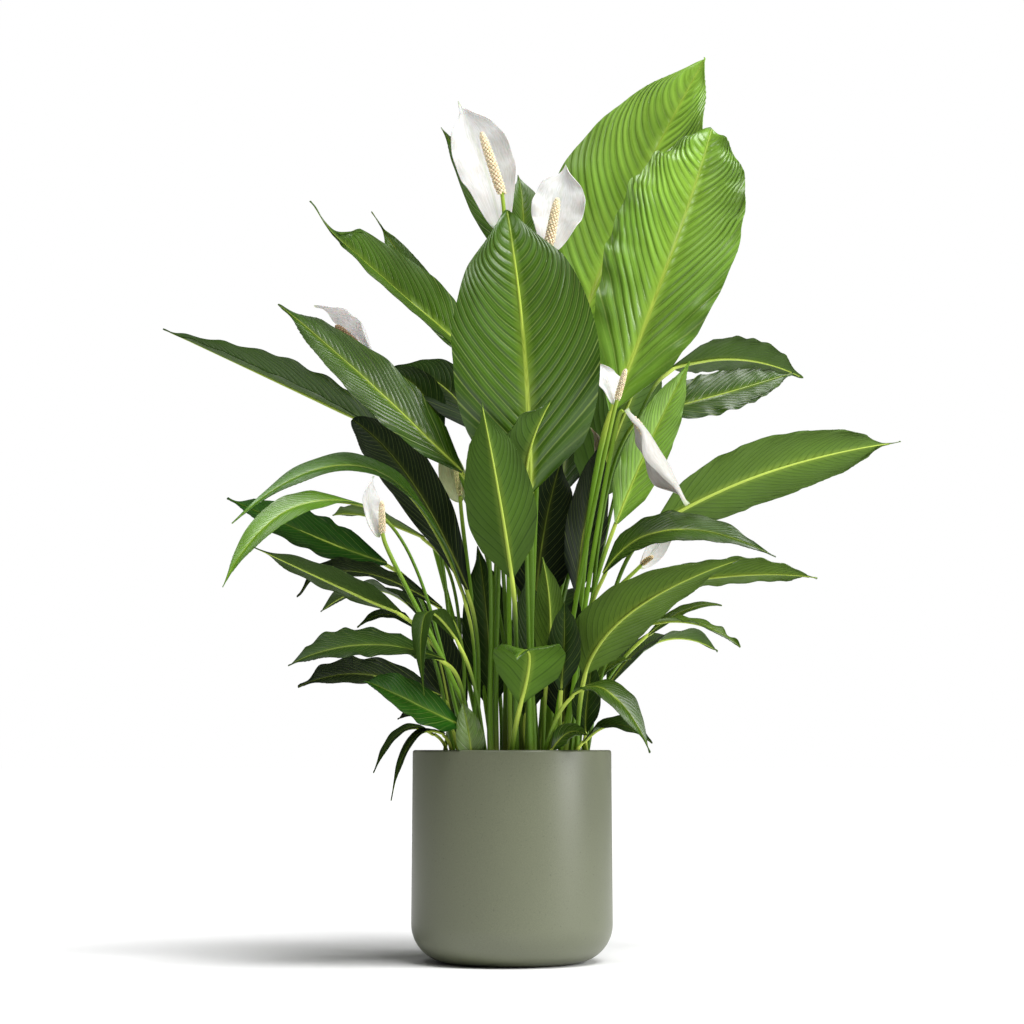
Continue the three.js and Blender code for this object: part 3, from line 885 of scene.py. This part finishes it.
def build_leaf_face(name, gloss, smoothest):
    """Waxy green with pale sunken veins, painted shade in the furrows beside them and streaks across."""
    finish = Finish(name, 0.4, Specular_IOR_Level=gloss)
    growth = finish.growth()
    veins = vein_lines(finish, growth, VEIN_WIDTH)
    cells = finish.noise(900.0, 3.0)
    streaks = finish.noise(1.0, 3.0, finish.drawn_out(growth, 2.5, 1.6))
    tint = finish.darken(finish.tint(), finish.noise(28.0, 3.0), 0.3, 0.7, 0.35, MOTTLE_SHADE)
    tint = finish.mix(finish.span(streaks, 0.35, 0.65, 0.55, 0.0), tint, gray(0.5), "MULTIPLY")
    tint = finish.darken(tint, cells, 0.3, 0.7, 0.3, gray(0.75))
    # Painted shade: darkest beside each vein and gone half-way to the next, for the shade in the quilted
    # furrows.
    painted_furrow_shade = finish.span(finish.math("PINGPONG", growth[1], 0.5), 0.05, 0.4, 0.6, 0.0)
    painted_furrow_shade = finish.math("MULTIPLY", painted_furrow_shade, finish.strength())
    tint = finish.mix(painted_furrow_shade, tint, FURROW_PAINTED_SHADE, "MULTIPLY")
    pale = finish.mix(0.5, tint, VEIN_GREEN)
    finish.color(finish.mix(finish.scaled(veins, 0.6), tint, pale))
    finish.rough(finish.span(streaks, 0.3, 0.7, smoothest, smoothest + 0.16))
    finish.bump(finish.math("SUBTRACT", finish.scaled(cells, 0.12), veins), 0.35, 0.0006)
    return finish.material


@made_once
def leaf_face_material():
    return build_leaf_face("Leaf face", 0.45, 0.22)


@made_once
def dull_face_material():
    return build_leaf_face("Shaded leaf face", 0.12, 0.42)


@made_once
def leaf_back_material():
    """Matt paler green with raised veins, darkened along them as painted shade of the grooves."""
    finish = Finish("Leaf back", 0.6, Specular_IOR_Level=0.15)
    veins = vein_lines(finish, finish.growth(), BACK_VEIN_WIDTH)
    cells = finish.noise(1100.0, 3.0)
    matte = finish.mix(0.2, finish.tint(), BACK_GREEN)
    matte = finish.darken(matte, cells, 0.3, 0.7, 0.3, gray(0.75))
    # Painted shade: dark lines along the veins, for the shade of the grooves on the back.
    finish.color(finish.mix(finish.scaled(veins, 0.75), matte, BACK_GROOVE_PAINTED_SHADE, "MULTIPLY"))
    finish.rough(finish.span(finish.noise(70.0, 3.0), 0.3, 0.7, 0.5, 0.66))
    finish.bump(finish.sum(finish.scaled(cells, 0.3), veins), 0.35, 0.0006)
    return finish.material


@made_once
def stalk_material():
    """Green skin with lengthwise fibres and small pale flecks."""
    finish = Finish("Stalk skin", 0.42, Specular_IOR_Level=0.25)
    fibres = finish.noise(6.0, 4.0, finish.drawn_out(finish.growth(), 9.0, 1.5))
    flecks = finish.noise(700.0, 2.0)
    tint = finish.darken(finish.tint(), fibres, 0.35, 0.65, 0.35, gray(0.62))
    finish.color(finish.mix(finish.span(flecks, 0.62, 0.75, 0.0, 0.15), tint, FLECK_GREEN))
    finish.rough(finish.span(fibres, 0.3, 0.7, 0.34, 0.5))
    finish.bump(finish.sum(fibres, finish.scaled(flecks, 0.3)), 0.3, 0.0005)
    return finish.material


@made_once
def spathe_material():
    """Soft white with faint lengthwise veins, which lets a little light in."""
    finish = Finish("Spathe", 0.5, Subsurface_Weight=0.12, Subsurface_Scale=0.004)
    veins = finish.noise(3.0, 3.0, finish.drawn_out(finish.growth(), 15.0, 0.16))
    cloud = finish.noise(60.0, 3.0)
    tint = finish.darken(finish.tint(), veins, 0.4, 0.65, 0.7, SPATHE_VEIN_SHADE)
    finish.color(finish.darken(tint, cloud, 0.4, 0.7, 0.45, SPATHE_CLOUD_SHADE))
    finish.rough(finish.span(cloud, 0.3, 0.7, 0.42, 0.58))
    finish.bump(finish.sum(veins, finish.scaled(cloud, 0.4)), 0.3, 0.0008)
    return finish.material


@made_once
def spadix_material():
    """Mealy cream florets, browner in patches."""
    finish = Finish("Spadix", 0.65, Subsurface_Weight=0.1, Subsurface_Scale=0.002)
    grains = finish.noise(1500.0, 3.0)
    tint = finish.darken(finish.tint(), grains, 0.35, 0.65, 0.5, FLORET_SHADE)
    finish.color(finish.darken(tint, finish.noise(110.0), 0.4, 0.7, 0.3, FLORET_PATCH_SHADE))
    finish.bump(grains, 0.4, 0.0004)
    return finish.material


def glaze_material(color):
    """Satin glaze over fine grit, slightly clouded, with a few dark specks."""
    finish = Finish("Satin glaze", 0.4, Coat_Weight=0.12, Coat_Roughness=0.3)
    grains = finish.noise(1100.0, 2.0, rough=0.6)
    darker = (*(value * 0.86 for value in color), 1)
    lighter = (*(min(1, value * 1.14) for value in color), 1)
    tint = finish.mix(finish.span(grains, 0.3, 0.7), darker, lighter)
    tint = finish.mix(finish.span(finish.noise(16.0, 3.0), 0.3, 0.7, 0.0, 0.3), tint, (*color, 1))
    finish.color(finish.darken(tint, finish.noise(420.0, 1.0), 0.68, 0.76, 0.35, gray(0.35)))
    finish.rough(finish.span(grains, 0.3, 0.7, 0.36, 0.48))
    finish.bump(grains, 0.22, 0.0004)
    return finish.material


@made_once
def soil_material():
    finish = Finish("Potting mix", 0.95)
    crumbs = finish.noise(240.0, 6.0, rough=0.65)
    lumps = finish.noise(48.0, 4.0)
    tint = finish.mix(crumbs, CRUMB_DARK, CRUMB_LIGHT)
    finish.color(finish.mix(finish.span(lumps, 0.35, 0.7, 0.0, 0.6), tint, LUMP_BROWN))
    finish.bump(finish.sum(crumbs, lumps), 0.8, 0.002)
    return finish.material


def build_crumb_material(name, roughness, grain, detail, tones, relief):
    """Two tones mixed by one noise, which also makes the surface uneven."""
    finish = Finish(name, roughness)
    pattern = finish.noise(grain, detail)
    finish.color(finish.mix(pattern, *tones))
    finish.bump(pattern, 0.7, relief)
    return finish.material


# ---------------- flowers

SPADIX_SIDES = 7
SPADIX_RINGS = 25
SPADIX_STEPS = 14
TUCK = np.array((-0.004, 0.013, -0.003))
SPATHE_PLEAT = 0.0005
FLOWER_STALK_RINGS = 49
FLOWER_STALK_RADIUS = 0.0029
SPATHE_ROWS = 60
SPATHE_COLUMNS = 24
SPADIX_TURN = math.radians(137.508)
SPATHE_BACK_GREEN = srgb(150, 178, 104)
WILTED = srgb(150, 142, 120)
YOUNG_SPATHE = srgb(178, 190, 140)
YOUNG_SPADIX = srgb(214, 214, 150)
BROWN_SPADIX = srgb(136, 112, 82)
TAN_SPADIX = srgb(206, 184, 142)


class FlowerLook(NamedTuple):
    """How one flower differs from the others. A tucked spadix lies behind its hood."""
    wave: float = 0.05
    ripples: float = 3.0
    white: tuple = None
    spadix: tuple = None
    heel_power: float = 0.6
    tip_power: float = 0.8
    tucked: bool = False
    broad: float = 1.0


FLOWER_LOOKS = {
    "flower_1": FlowerLook(0.08, 3.5),
    "flower_2": FlowerLook(0.1, 3.0),
    # A brighter white than the other hoods: painted light on a hood that faces away from the lamps.
    "flower_3": FlowerLook(0.05, 3.0, srgb(246, 244, 246), BROWN_SPADIX),
    "flower_4": FlowerLook(0.05, 2.0),
    "flower_5": FlowerLook(0.1, 2.0),
    # A greyer white than the other hoods: painted shade that offsets the strong lamp light on it.
    "flower_6": FlowerLook(0.12, 2.0, white=srgb(183, 181, 176), heel_power=1.2, tucked=True,
                           broad=1.3),
}


SMALL_FLOWERS = {
    "bud_flower": dict(
        stalk=((-0.02, 0.05, SOIL_TOP), (-0.045, 0.06, 0.40), (-0.060, 0.06, 0.52),
               (-0.064, 0.055, 0.562)),
        spadix=((-0.064, 0.055, 0.562), (-0.067, 0.050, 0.580), (-0.070, 0.046, 0.598)),
        spathe=((-0.063, 0.060, 0.553), (-0.074, 0.072, 0.590), (-0.080, 0.060, 0.628)),
        width=0.036, faces=(-0.1, -1, 0.1), look=FlowerLook(0.06, 2.0, YOUNG_SPATHE, YOUNG_SPADIX)),
    "leaning_flower": dict(
        stalk=((0.04, 0.03, SOIL_TOP), (0.07, 0.03, 0.36), (0.115, 0.02, 0.43), (0.158, 0.01, 0.474)),
        spadix=((0.158, 0.01, 0.474), (0.163, 0.0, 0.478), (0.169, -0.006, 0.481)),
        spathe=((0.155, 0.014, 0.468), (0.178, 0.02, 0.500), (0.196, 0.01, 0.528)),
        width=0.026, faces=(0.3, -1, -0.2), look=FlowerLook(0.06, 2.0, spadix=TAN_SPADIX)),
    "wilted_flower": dict(
        stalk=((0.03, 0.05, SOIL_TOP), (0.055, 0.06, 0.42), (0.080, 0.06, 0.52), (0.101, 0.06, 0.598)),
        spadix=((0.101, 0.06, 0.598), (0.103, 0.058, 0.606), (0.104, 0.056, 0.614)),
        spathe=((0.101, 0.062, 0.594), (0.108, 0.066, 0.622), (0.097, 0.06, 0.646)),
        width=0.012, faces=(-0.6, -1, 0), look=FlowerLook(0.1, 2.0, WILTED, WILTED)),
}
SMALL_SPADIX_RADIUS = 0.0032
SMALL_FLOWER_SEED = 20
CUP_DEGREES = 24.0


def centre_line(node, start, sides=4):
    """Middles of a round CAD solid's rings, from its start to its end, and its widest radius."""
    places, _, layers = layers_of(node, start, sides)
    middles = [np.mean([places[i] for i in layer], axis=0) for layer in layers]
    radii = [np.mean([np.linalg.norm(places[i] - middle) for i in layer])
             for layer, middle in zip(layers, middles)]
    return np.array(middles), max(radii)


def grow_spathe(name, bones, how, seed, flowers, *nodes):
    """The soft white hood, cupped round the spadix, with a drawn-out tip."""
    half_width = bones.width / 2 * how.broad
    hood = add_sheet(SPATHE_COLUMNS, SPATHE_ROWS)
    across, share = flat_coordinates(hood)
    edge, part = np.sign(across), np.abs(across)
    half = half_width * outline(share, how.heel_power, how.tip_power)
    half *= 1 - 0.7 * ease(share, 0.72, 0.96)
    half *= 1 + 0.06 * wobble(share * how.ripples, edge * 3.3, seed + 0.5)
    out = half * across * np.cos(bones.fold * part ** 2)
    lift = half * np.sin(bones.fold) * part ** 1.8
    turn = 2 * math.pi * (how.ripples * share + 0.3 * edge + seed * 0.3)
    lift += how.wave * half_width * np.sin(turn) * part ** 3
    lift += 0.04 * half * wobble(share * 5, across * 2, seed + 1.5)
    lift += SPATHE_PLEAT * np.cos(across * 34) * (1 - part ** 4) * np.sin(math.pi * share)
    move_points(hood, bones.surface(share, out, lift))
    green = 0.28 * np.exp(-(across / 0.04) ** 2) * (1 - 0.7 * share)
    green = np.maximum(green, 0.6 * (1 - ease(share, 0.0, 0.06)))
    green = np.maximum(green, 0.5 * ease(share, 0.93, 1.0))
    white = np.tile(np.array(how.white or flowers.spathe_white), (len(share), 1))
    paint(hood, blend(white, SPATHE_BACK_GREEN, green))
    stretch_map(hood, SPATHE_COLUMNS)
    hood.data.materials.append(spathe_material())
    weld(hood)
    thicken(hood, flowers.spathe_thickness, 0)
    smooth(hood)
    return settle(hood, name, "spathe", *nodes)


def taper(share, radius):
    """Radius along a spadix: a short neck, a full body and a round end."""
    end = np.sqrt(np.clip(1 - share ** 7, 0, 1))
    return radius * (0.75 + 0.25 * ease(share, 0, 0.15)) * end * (1 - 0.22 * share)


def add_copy(model, matrix):
    """Adds a copy with its own mesh, which takes up the move and the turn."""
    copy = model.copy()
    copy.data = model.data.copy()
    copy.data.transform(matrix)
    bpy.context.collection.objects.link(copy)
    return copy


def model_floret(size):
    clear_selection()
    bpy.ops.mesh.primitive_ico_sphere_add(subdivisions=1, radius=size)
    floret = bpy.context.object
    floret.data.uv_layers[0].name = MAP_NAME
    floret.data.materials.append(spadix_material())
    return floret


def grow_spadix(name, line, radius, how, seed, flowers, *nodes):
    """The club of florets: a core and a spiral of small knobs."""
    share = np.linspace(0, 1, SPADIX_RINGS)
    centres = curve_through(line, share)
    side, up = frames_along(centres, any_side(centres))
    body = taper(share, radius * 0.8)
    body[0] = body[-1] = 0
    core, row = roll_tube(centres, side, up, body, body, np.zeros(SPADIX_RINGS), SPADIX_STEPS)
    cream = np.array(how.spadix or flowers.spadix_cream)
    # The core, seen only between the florets, is painted a fifth darker as painted shade in the gaps.
    paint(core, np.tile(cream * 0.8, (len(row), 1)))
    core.data.materials.append(spadix_material())
    weld(core, closed=True)
    size = min(flowers.floret_radius, radius * 0.4)
    length = np.sum(np.linalg.norm(np.diff(centres, axis=0), axis=1))
    count = int(2 * math.pi * radius * 0.9 * length / (3.1 * size * size))
    floret = model_floret(size)
    knobs = []
    for i in range(count):
        along = (i + 0.5) / count
        at, sideways, upwards = (between(values, share, along) for values in (centres, side, up))
        away = sideways * math.cos(i * SPADIX_TURN) + upwards * math.sin(i * SPADIX_TURN)
        matrix = Vector(away).to_track_quat("Z", "Y").to_matrix().to_4x4()
        matrix.translation = Vector(at + away * float(taper(along, radius * 0.86)))
        knob = add_copy(floret, matrix)
        shade = 0.92 + 0.12 * math.sin(i * 12.9 + seed)
        paint(knob, np.tile(cream * shade, (len(knob.data.vertices), 1)))
        knobs.append(knob)
    bpy.data.objects.remove(floret)
    spadix = join(core, *knobs)
    smooth(spadix)
    return settle(spadix, name, "spadix", *nodes)


def any_side(centres):
    """A sideways direction for a line that may point any way."""
    ahead = unit(centres[-1] - centres[0])
    return unit(np.cross(ahead, (0.3, -1.0, 0.2)))


def grow_flower_stalk(name, line, foliage, *nodes):
    """The round stalk of one flower, paler towards the top and brownish at the foot."""
    share = np.linspace(0, 1, FLOWER_STALK_RINGS)
    centres = curve_through(line, share)
    centres[0] -= (0, 0, STALK_SINK)
    side, up = frames_along(centres, any_side(centres))
    radius = FLOWER_STALK_RADIUS * (1.1 - 0.3 * share)
    radius[0] = radius[-1] = 0
    channel = np.full(FLOWER_STALK_RINGS, 0.08)
    stalk, row = roll_tube(centres, side, up, radius, radius, channel, STALK_SIDES)
    place = share[row]
    colors = np.tile(np.array(foliage.stalk_green) * 0.9, (len(row), 1))
    colors = blend(colors, foliage.pale_rib, 0.55 * ease(place, 0.5, 1.0))
    colors = blend(colors, BASE_BROWN, 0.5 * (1 - ease(place, 0.02, 0.12)))
    paint(stalk, colors)
    stalk.data.materials.append(stalk_material())
    weld(stalk, closed=True)
    smooth(stalk)
    return settle(stalk, name, "flower_stalk", *nodes)


def tuck_behind(line, bones):
    """The line of a spadix that lies hidden behind its hanging hood."""
    aside = TUCK * np.linspace(0.3, 1.0, len(line))[:, None]
    return bones.at(bones.point, np.linspace(0.08, 0.46, len(line))) + aside


# ---------------- pot and soil

POT_WALL = 0.008
POT_FLOOR = 0.012
RIM_INSET = 0.0015
FOOT_ROUNDING = 0.046
RIM_ROUNDING = 0.003
FOOT_STEPS = 18
INNER_FOOT_STEPS = 8
RIM_STEPS = 5
SOIL_SIDES = 96
SOIL_RINGS = 30
SOIL_GAP = 0.0002
SOIL_FOOT = 0.6  # the soil's underside beside its top
CRUMB_MARGIN = 0.008
CRUMB_RISE = 0.003
HEAP_HEIGHT = 0.0035
HEAP_SCALE = 60
HEAP_RISE = 0.002
CRUMB_SEED = 11
CHIPS = 170
CHIP_SIZE = 0.0042
CHIP_FLATNESS = 0.45
PERLITE = 70
PERLITE_SIZE = 0.0022
PERLITE_FLATNESS = 0.8


def unselect(mesh):
    bpy.ops.object.mode_set(mode="OBJECT")
    for part in (*mesh.vertices, *mesh.edges, *mesh.polygons):
        part.select = False


def select_faces(piece, test):
    """Selects the faces whose middle and normal pass a test, in edit mode."""
    unselect(piece.data)
    for face in piece.data.polygons:
        face.select = test(face.center, face.normal)
    bpy.ops.object.mode_set(mode="EDIT")
    bpy.ops.mesh.select_mode(type="FACE")


def bevel_at(piece, height, width, steps):
    """Rounds the edges that lie at one height."""
    unselect(piece.data)
    for edge in piece.data.edges:
        edge.select = all(near(piece.data.vertices[i].co.z, height) for i in edge.vertices)
    bpy.ops.object.mode_set(mode="EDIT")
    bpy.ops.mesh.select_mode(type="EDGE")
    bpy.ops.mesh.bevel(offset=width, offset_type="OFFSET", segments=steps, affect="EDGES")


def near(value, target):
    return abs(value - target) < 1e-5


def add_cylinder(sides, radius, low, high):
    clear_selection()
    bpy.ops.mesh.primitive_cylinder_add(vertices=sides, radius=radius, depth=high - low,
                                        location=(0, 0, (high + low) / 2))
    drum = bpy.context.object
    bpy.ops.object.transform_apply()
    pick(drum)
    bpy.ops.object.mode_set(mode="EDIT")
    select_faces(drum, lambda centre, normal: near(centre.z, high) and normal.z > 0.9)
    return drum


def build_pot(settings):
    """Hollows a drum out from its top, then rounds its foot, inside and outside, and its rim."""
    radius = (POT_HIGH.x - POT_LOW.x) / 2
    height = POT_HIGH.z
    pot = add_cylinder(settings.sides, radius, 0, height)
    rim_scale = 1 - RIM_INSET / radius
    bpy.ops.transform.resize(value=(rim_scale, rim_scale, 1))
    bpy.ops.mesh.inset(thickness=POT_WALL)
    bpy.ops.mesh.extrude_region_move(TRANSFORM_OT_translate={"value": (0, 0, POT_FLOOR - height)})
    bevel_at(pot, POT_FLOOR, FOOT_ROUNDING - POT_WALL, INNER_FOOT_STEPS)
    bevel_at(pot, 0.0, FOOT_ROUNDING, FOOT_STEPS)
    bevel_at(pot, height, RIM_ROUNDING, RIM_STEPS)
    bpy.ops.object.mode_set(mode="OBJECT")
    pot.data.materials.append(glaze_material(tuple(settings.glaze)))
    smooth(pot, 40)
    return settle(pot, "pot", "pot", "pot")


def build_soil():
    """A disc of potting mix, heaped unevenly, whose sides draw in with the pot's foot."""
    low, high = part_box("soil")
    radius = min(high.x, -low.x) - SOIL_GAP
    soil = add_cylinder(SOIL_SIDES, radius, low.z, high.z)
    for _ in range(SOIL_RINGS):
        bpy.ops.mesh.inset(thickness=radius / (SOIL_RINGS + 1.5))
    bpy.ops.mesh.poke()
    bpy.ops.object.mode_set(mode="OBJECT")
    for vertex in soil.data.vertices:
        if vertex.co.z > high.z - 1e-4:
            flat = vertex.co.xy.length / radius
            spot = (vertex.co.x * HEAP_SCALE, vertex.co.y * HEAP_SCALE, 3.1)
            heap = HEAP_HEIGHT * noise.fractal(spot, 0.8, 2.0, 4)
            vertex.co.z += (heap + HEAP_RISE) * (1 - flat ** 8)
    for vertex in soil.data.vertices:
        if near(vertex.co.z, low.z):
            vertex.co.x *= SOIL_FOOT
            vertex.co.y *= SOIL_FOOT
    soil.data.materials.append(soil_material())
    smooth(soil, 50)
    return settle(soil, "soil", "soil", "soil")


def scatter(name, count, size, flatness, material, dice):
    """Crumbs lying on the soil, each a small rough stone of its own."""
    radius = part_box("soil")[1].x - CRUMB_MARGIN
    clear_selection()
    bpy.ops.mesh.primitive_ico_sphere_add(subdivisions=1, radius=size)
    stone = bpy.context.object
    for vertex in stone.data.vertices:
        vertex.co *= 1 + 0.5 * noise.noise(vertex.co / size * 1.3 + Vector((dice.random(), 0, 0)))
        vertex.co.z *= flatness
    crumbs = []
    for _ in range(count):
        turn = dice.uniform(0, 2 * math.pi)
        away = radius * math.sqrt(dice.random())
        grow = dice.uniform(0.5, 1.4)
        lean = Vector((dice.gauss(0, 0.35), dice.gauss(0, 0.35), 1)).to_track_quat("Z", "Y")
        matrix = lean.to_matrix().to_4x4() @ Matrix.Rotation(dice.uniform(0, 6.3), 4, "Z")
        matrix = matrix @ Matrix.Diagonal(
            (grow * dice.uniform(0.8, 1.7), grow * dice.uniform(0.6, 1), grow, 1))
        matrix.translation = (away * math.cos(turn), away * math.sin(turn),
                              SOIL_TOP + CRUMB_RISE + size * flatness * 0.3)
        crumbs.append(add_copy(stone, matrix))
    bpy.data.objects.remove(stone)
    heap = join(*crumbs)
    heap.data.materials.clear()
    heap.data.materials.append(material)
    return settle(heap, name, "soil")


# ---------------- stage

FLOOR_SIZE = 60.0
FLOOR_WHITE = rgba(244, 244, 244)
FLOOR_SHADE = rgba(240, 240, 240)
KEY_FROM = (0.75, -1.0, 2.9)
KEY_STRENGTH = 4.2
KEY_ANGLE = math.radians(40)
WINDOWS = {  # place, target, size and strength
    "left_window": ((-1.0, -1.5, 2.7), (0.05, 0.0, 0.8), 0.5, 10),
    "right_window": ((2.3, -0.9, 1.1), (0.0, 0.0, 0.45), 1.0, 52),
}
ROOM_LIGHT = 0.1
CAMERA_PLACE = (0.0, -3.0, 0.25)
CAMERA_LENS = 87.89
SENSOR_WIDTH = 36
CAMERA_RISE = math.radians(5.4382)


def aim(thing, target):
    thing.rotation_euler = (Vector(target) - thing.location).to_track_quat("-Z", "Y").to_euler()


def lay_floor():
    clear_selection()
    bpy.ops.mesh.primitive_plane_add(size=FLOOR_SIZE)
    floor = bpy.context.object
    floor.name = "floor"
    finish = Finish("Studio floor", 0.9)
    finish.color(finish.mix(finish.noise(3.0), FLOOR_WHITE, FLOOR_SHADE))
    floor.data.materials.append(finish.material)


def hang_lights():
    """A soft lamp high at the front right, and a window on each side."""
    bpy.ops.object.light_add(type="SUN", location=KEY_FROM)
    key = bpy.context.object
    key.name = "key"
    key.data.energy = KEY_STRENGTH
    key.data.angle = KEY_ANGLE
    aim(key, (0, 0, 0))
    for name, (place, target, size, strength) in WINDOWS.items():
        bpy.ops.object.light_add(type="AREA", location=place)
        window = bpy.context.object
        window.name = name
        window.data.size = size
        window.data.energy = strength
        aim(window, target)


def light_room(scene):
    """A white room that is seen bright but lights the plant only a little."""
    world = bpy.data.worlds.new("Studio")
    scene.world = world
    world.use_nodes = True
    tree = world.node_tree
    tree.nodes.clear()
    output, path, mix, soft, seen = (tree.nodes.new("ShaderNode" + kind) for kind in (
        "OutputWorld", "LightPath", "MixShader", "Background", "Background"))
    soft.inputs["Strength"].default_value = ROOM_LIGHT
    for background in (soft, seen):
        background.inputs["Color"].default_value = gray(1.0)
    tree.links.new(path.outputs["Is Camera Ray"], mix.inputs[0])
    tree.links.new(soft.outputs[0], mix.inputs[1])
    tree.links.new(seen.outputs[0], mix.inputs[2])
    tree.links.new(mix.outputs[0], output.inputs[0])


# ---------------- operators

class PEACELILY_OT_pot(bpy.types.Operator):
    """Build the glazed pot"""
    bl_idname = "peacelily.pot"
    bl_label = "Pot"

    def execute(self, context):
        build_pot(context.scene.peacelily_pot)
        return {"FINISHED"}


class PEACELILY_OT_soil(bpy.types.Operator):
    """Fill the pot with potting mix, bark chips and perlite"""
    bl_idname = "peacelily.soil"
    bl_label = "Soil"

    def execute(self, context):
        dice = random.Random(CRUMB_SEED)
        build_soil()
        bark = build_crumb_material("Bark chips", 0.85, 160.0, 5.0, BARK_TONES, 0.001)
        chalky = build_crumb_material("Perlite", 0.9, 500.0, 4.0, PERLITE_TONES, 0.0008)
        scatter("bark_chips", CHIPS, CHIP_SIZE, CHIP_FLATNESS, bark, dice)
        scatter("perlite", PERLITE, PERLITE_SIZE, PERLITE_FLATNESS, chalky, dice)
        return {"FINISHED"}


class PEACELILY_OT_leaves(bpy.types.Operator):
    """Grow the leaves that the frame places"""
    bl_idname = "peacelily.leaves"
    bl_label = "Leaves"

    def execute(self, context):
        foliage = context.scene.peacelily_foliage
        for seed, (name, how) in enumerate(LEAF_LOOKS.items()):
            grow_leaf(name, read_skeleton(name, (0, 0, SOIL_TOP)), how, seed, foliage, name)
        return {"FINISHED"}


class PEACELILY_OT_small_leaves(bpy.types.Operator):
    """Grow the small, inner and far leaves that fill the plant"""
    bl_idname = "peacelily.small_leaves"
    bl_label = "Small and inner leaves"

    def execute(self, context):
        foliage = context.scene.peacelily_foliage
        for seed, (name, row) in enumerate(SMALL_LEAVES.items(), SMALL_LEAF_SEED):
            foot, heel, crest, tip, width, faces, how = row
            bones = sweep_skeleton((*foot, SOIL_TOP), heel, crest, tip, faces, width, SMALL_FOLD)
            grow_leaf(name, bones, how, seed, foliage)
        return {"FINISHED"}


class PEACELILY_OT_small_flowers(bpy.types.Operator):
    """Grow the young, leaning and wilted flowers among the leaves"""
    bl_idname = "peacelily.small_flowers"
    bl_label = "Small flowers"

    def execute(self, context):
        foliage, flowers = context.scene.peacelily_foliage, context.scene.peacelily_flowers
        for seed, (name, row) in enumerate(SMALL_FLOWERS.items(), SMALL_FLOWER_SEED):
            grow_flower_stalk(name + "_stalk", row["stalk"], foliage)
            grow_spadix(name + "_spadix", row["spadix"], SMALL_SPADIX_RADIUS, row["look"], seed, flowers)
            base, crest, tip = row["spathe"]
            bones = sweep_skeleton(base, base, crest, tip, row["faces"], row["width"], CUP_DEGREES)
            grow_spathe(name + "_spathe", bones, row["look"], seed, flowers)
        return {"FINISHED"}


class PEACELILY_OT_flowers(bpy.types.Operator):
    """Grow the flowers that the frame places"""
    bl_idname = "peacelily.flowers"
    bl_label = "Flowers"

    def execute(self, context):
        foliage, flowers = context.scene.peacelily_foliage, context.scene.peacelily_flowers
        for seed, (name, how) in enumerate(FLOWER_LOOKS.items()):
            stalk, spadix, spathe = (name + ending for ending in ("_stalk", "_spadix", "_spathe"))
            line, _ = centre_line(stalk, (0, 0, SOIL_TOP))
            grow_flower_stalk(stalk, line[1:], foliage, stalk)
            neck = line[-1]
            bones = read_skeleton(spathe, neck, False)
            line, radius = centre_line(spadix, neck, SPADIX_SIDES)
            if how.tucked:
                line = tuck_behind(line, bones)
            grow_spadix(spadix, line, radius, how, seed, flowers, spadix)
            grow_spathe(spathe, bones, how, seed, flowers, spathe)
        return {"FINISHED"}


class PEACELILY_OT_stage(bpy.types.Operator):
    """Set the floor, the lights and the camera"""
    bl_idname = "peacelily.stage"
    bl_label = "Stage"

    def execute(self, context):
        lay_floor()
        light_room(context.scene)
        hang_lights()
        bpy.ops.object.camera_add(location=CAMERA_PLACE, rotation=(math.pi / 2 + CAMERA_RISE, 0, 0))
        camera = context.object
        camera.data.lens = CAMERA_LENS
        camera.data.sensor_width = SENSOR_WIDTH
        context.scene.camera = camera
        context.scene.view_settings.view_transform = "Standard"
        return {"FINISHED"}


# ---------------- panel and registration

class PEACELILY_PT_panel(bpy.types.Panel):
    """Lists the steps that build the peace lily"""
    bl_label = "Potted Peace Lily"
    bl_space_type = "VIEW_3D"
    bl_region_type = "UI"
    bl_category = "Peace Lily"

    def draw(self, context):
        for operator in OPERATORS:
            self.layout.operator(operator.bl_idname)
        for group in ("peacelily_foliage", "peacelily_flowers", "peacelily_pot"):
            settings = getattr(context.scene, group)
            for name in settings.__annotations__:
                self.layout.prop(settings, name)


OPERATORS = (PEACELILY_OT_stage, PEACELILY_OT_pot, PEACELILY_OT_soil, PEACELILY_OT_leaves,
             PEACELILY_OT_small_leaves, PEACELILY_OT_flowers, PEACELILY_OT_small_flowers)
GROUPS = {"peacelily_foliage": PEACELILY_PG_foliage, "peacelily_flowers": PEACELILY_PG_flowers,
          "peacelily_pot": PEACELILY_PG_pot}
CLASSES = (*GROUPS.values(), *OPERATORS, PEACELILY_PT_panel)


def register():
    for item in CLASSES:
        bpy.utils.register_class(item)
    for name, group in GROUPS.items():
        setattr(bpy.types.Scene, name, bpy.props.PointerProperty(type=group))


def unregister():
    for name in GROUPS:
        delattr(bpy.types.Scene, name)
    for item in reversed(CLASSES):
        bpy.utils.unregister_class(item)


def main():
    register()
    bpy.ops.peacelily.stage()
    bpy.ops.peacelily.pot()
    bpy.ops.peacelily.soil()
    bpy.ops.peacelily.leaves()
    bpy.ops.peacelily.small_leaves()
    bpy.ops.peacelily.flowers()
    bpy.ops.peacelily.small_flowers()


if __name__ == "__main__":
    main()
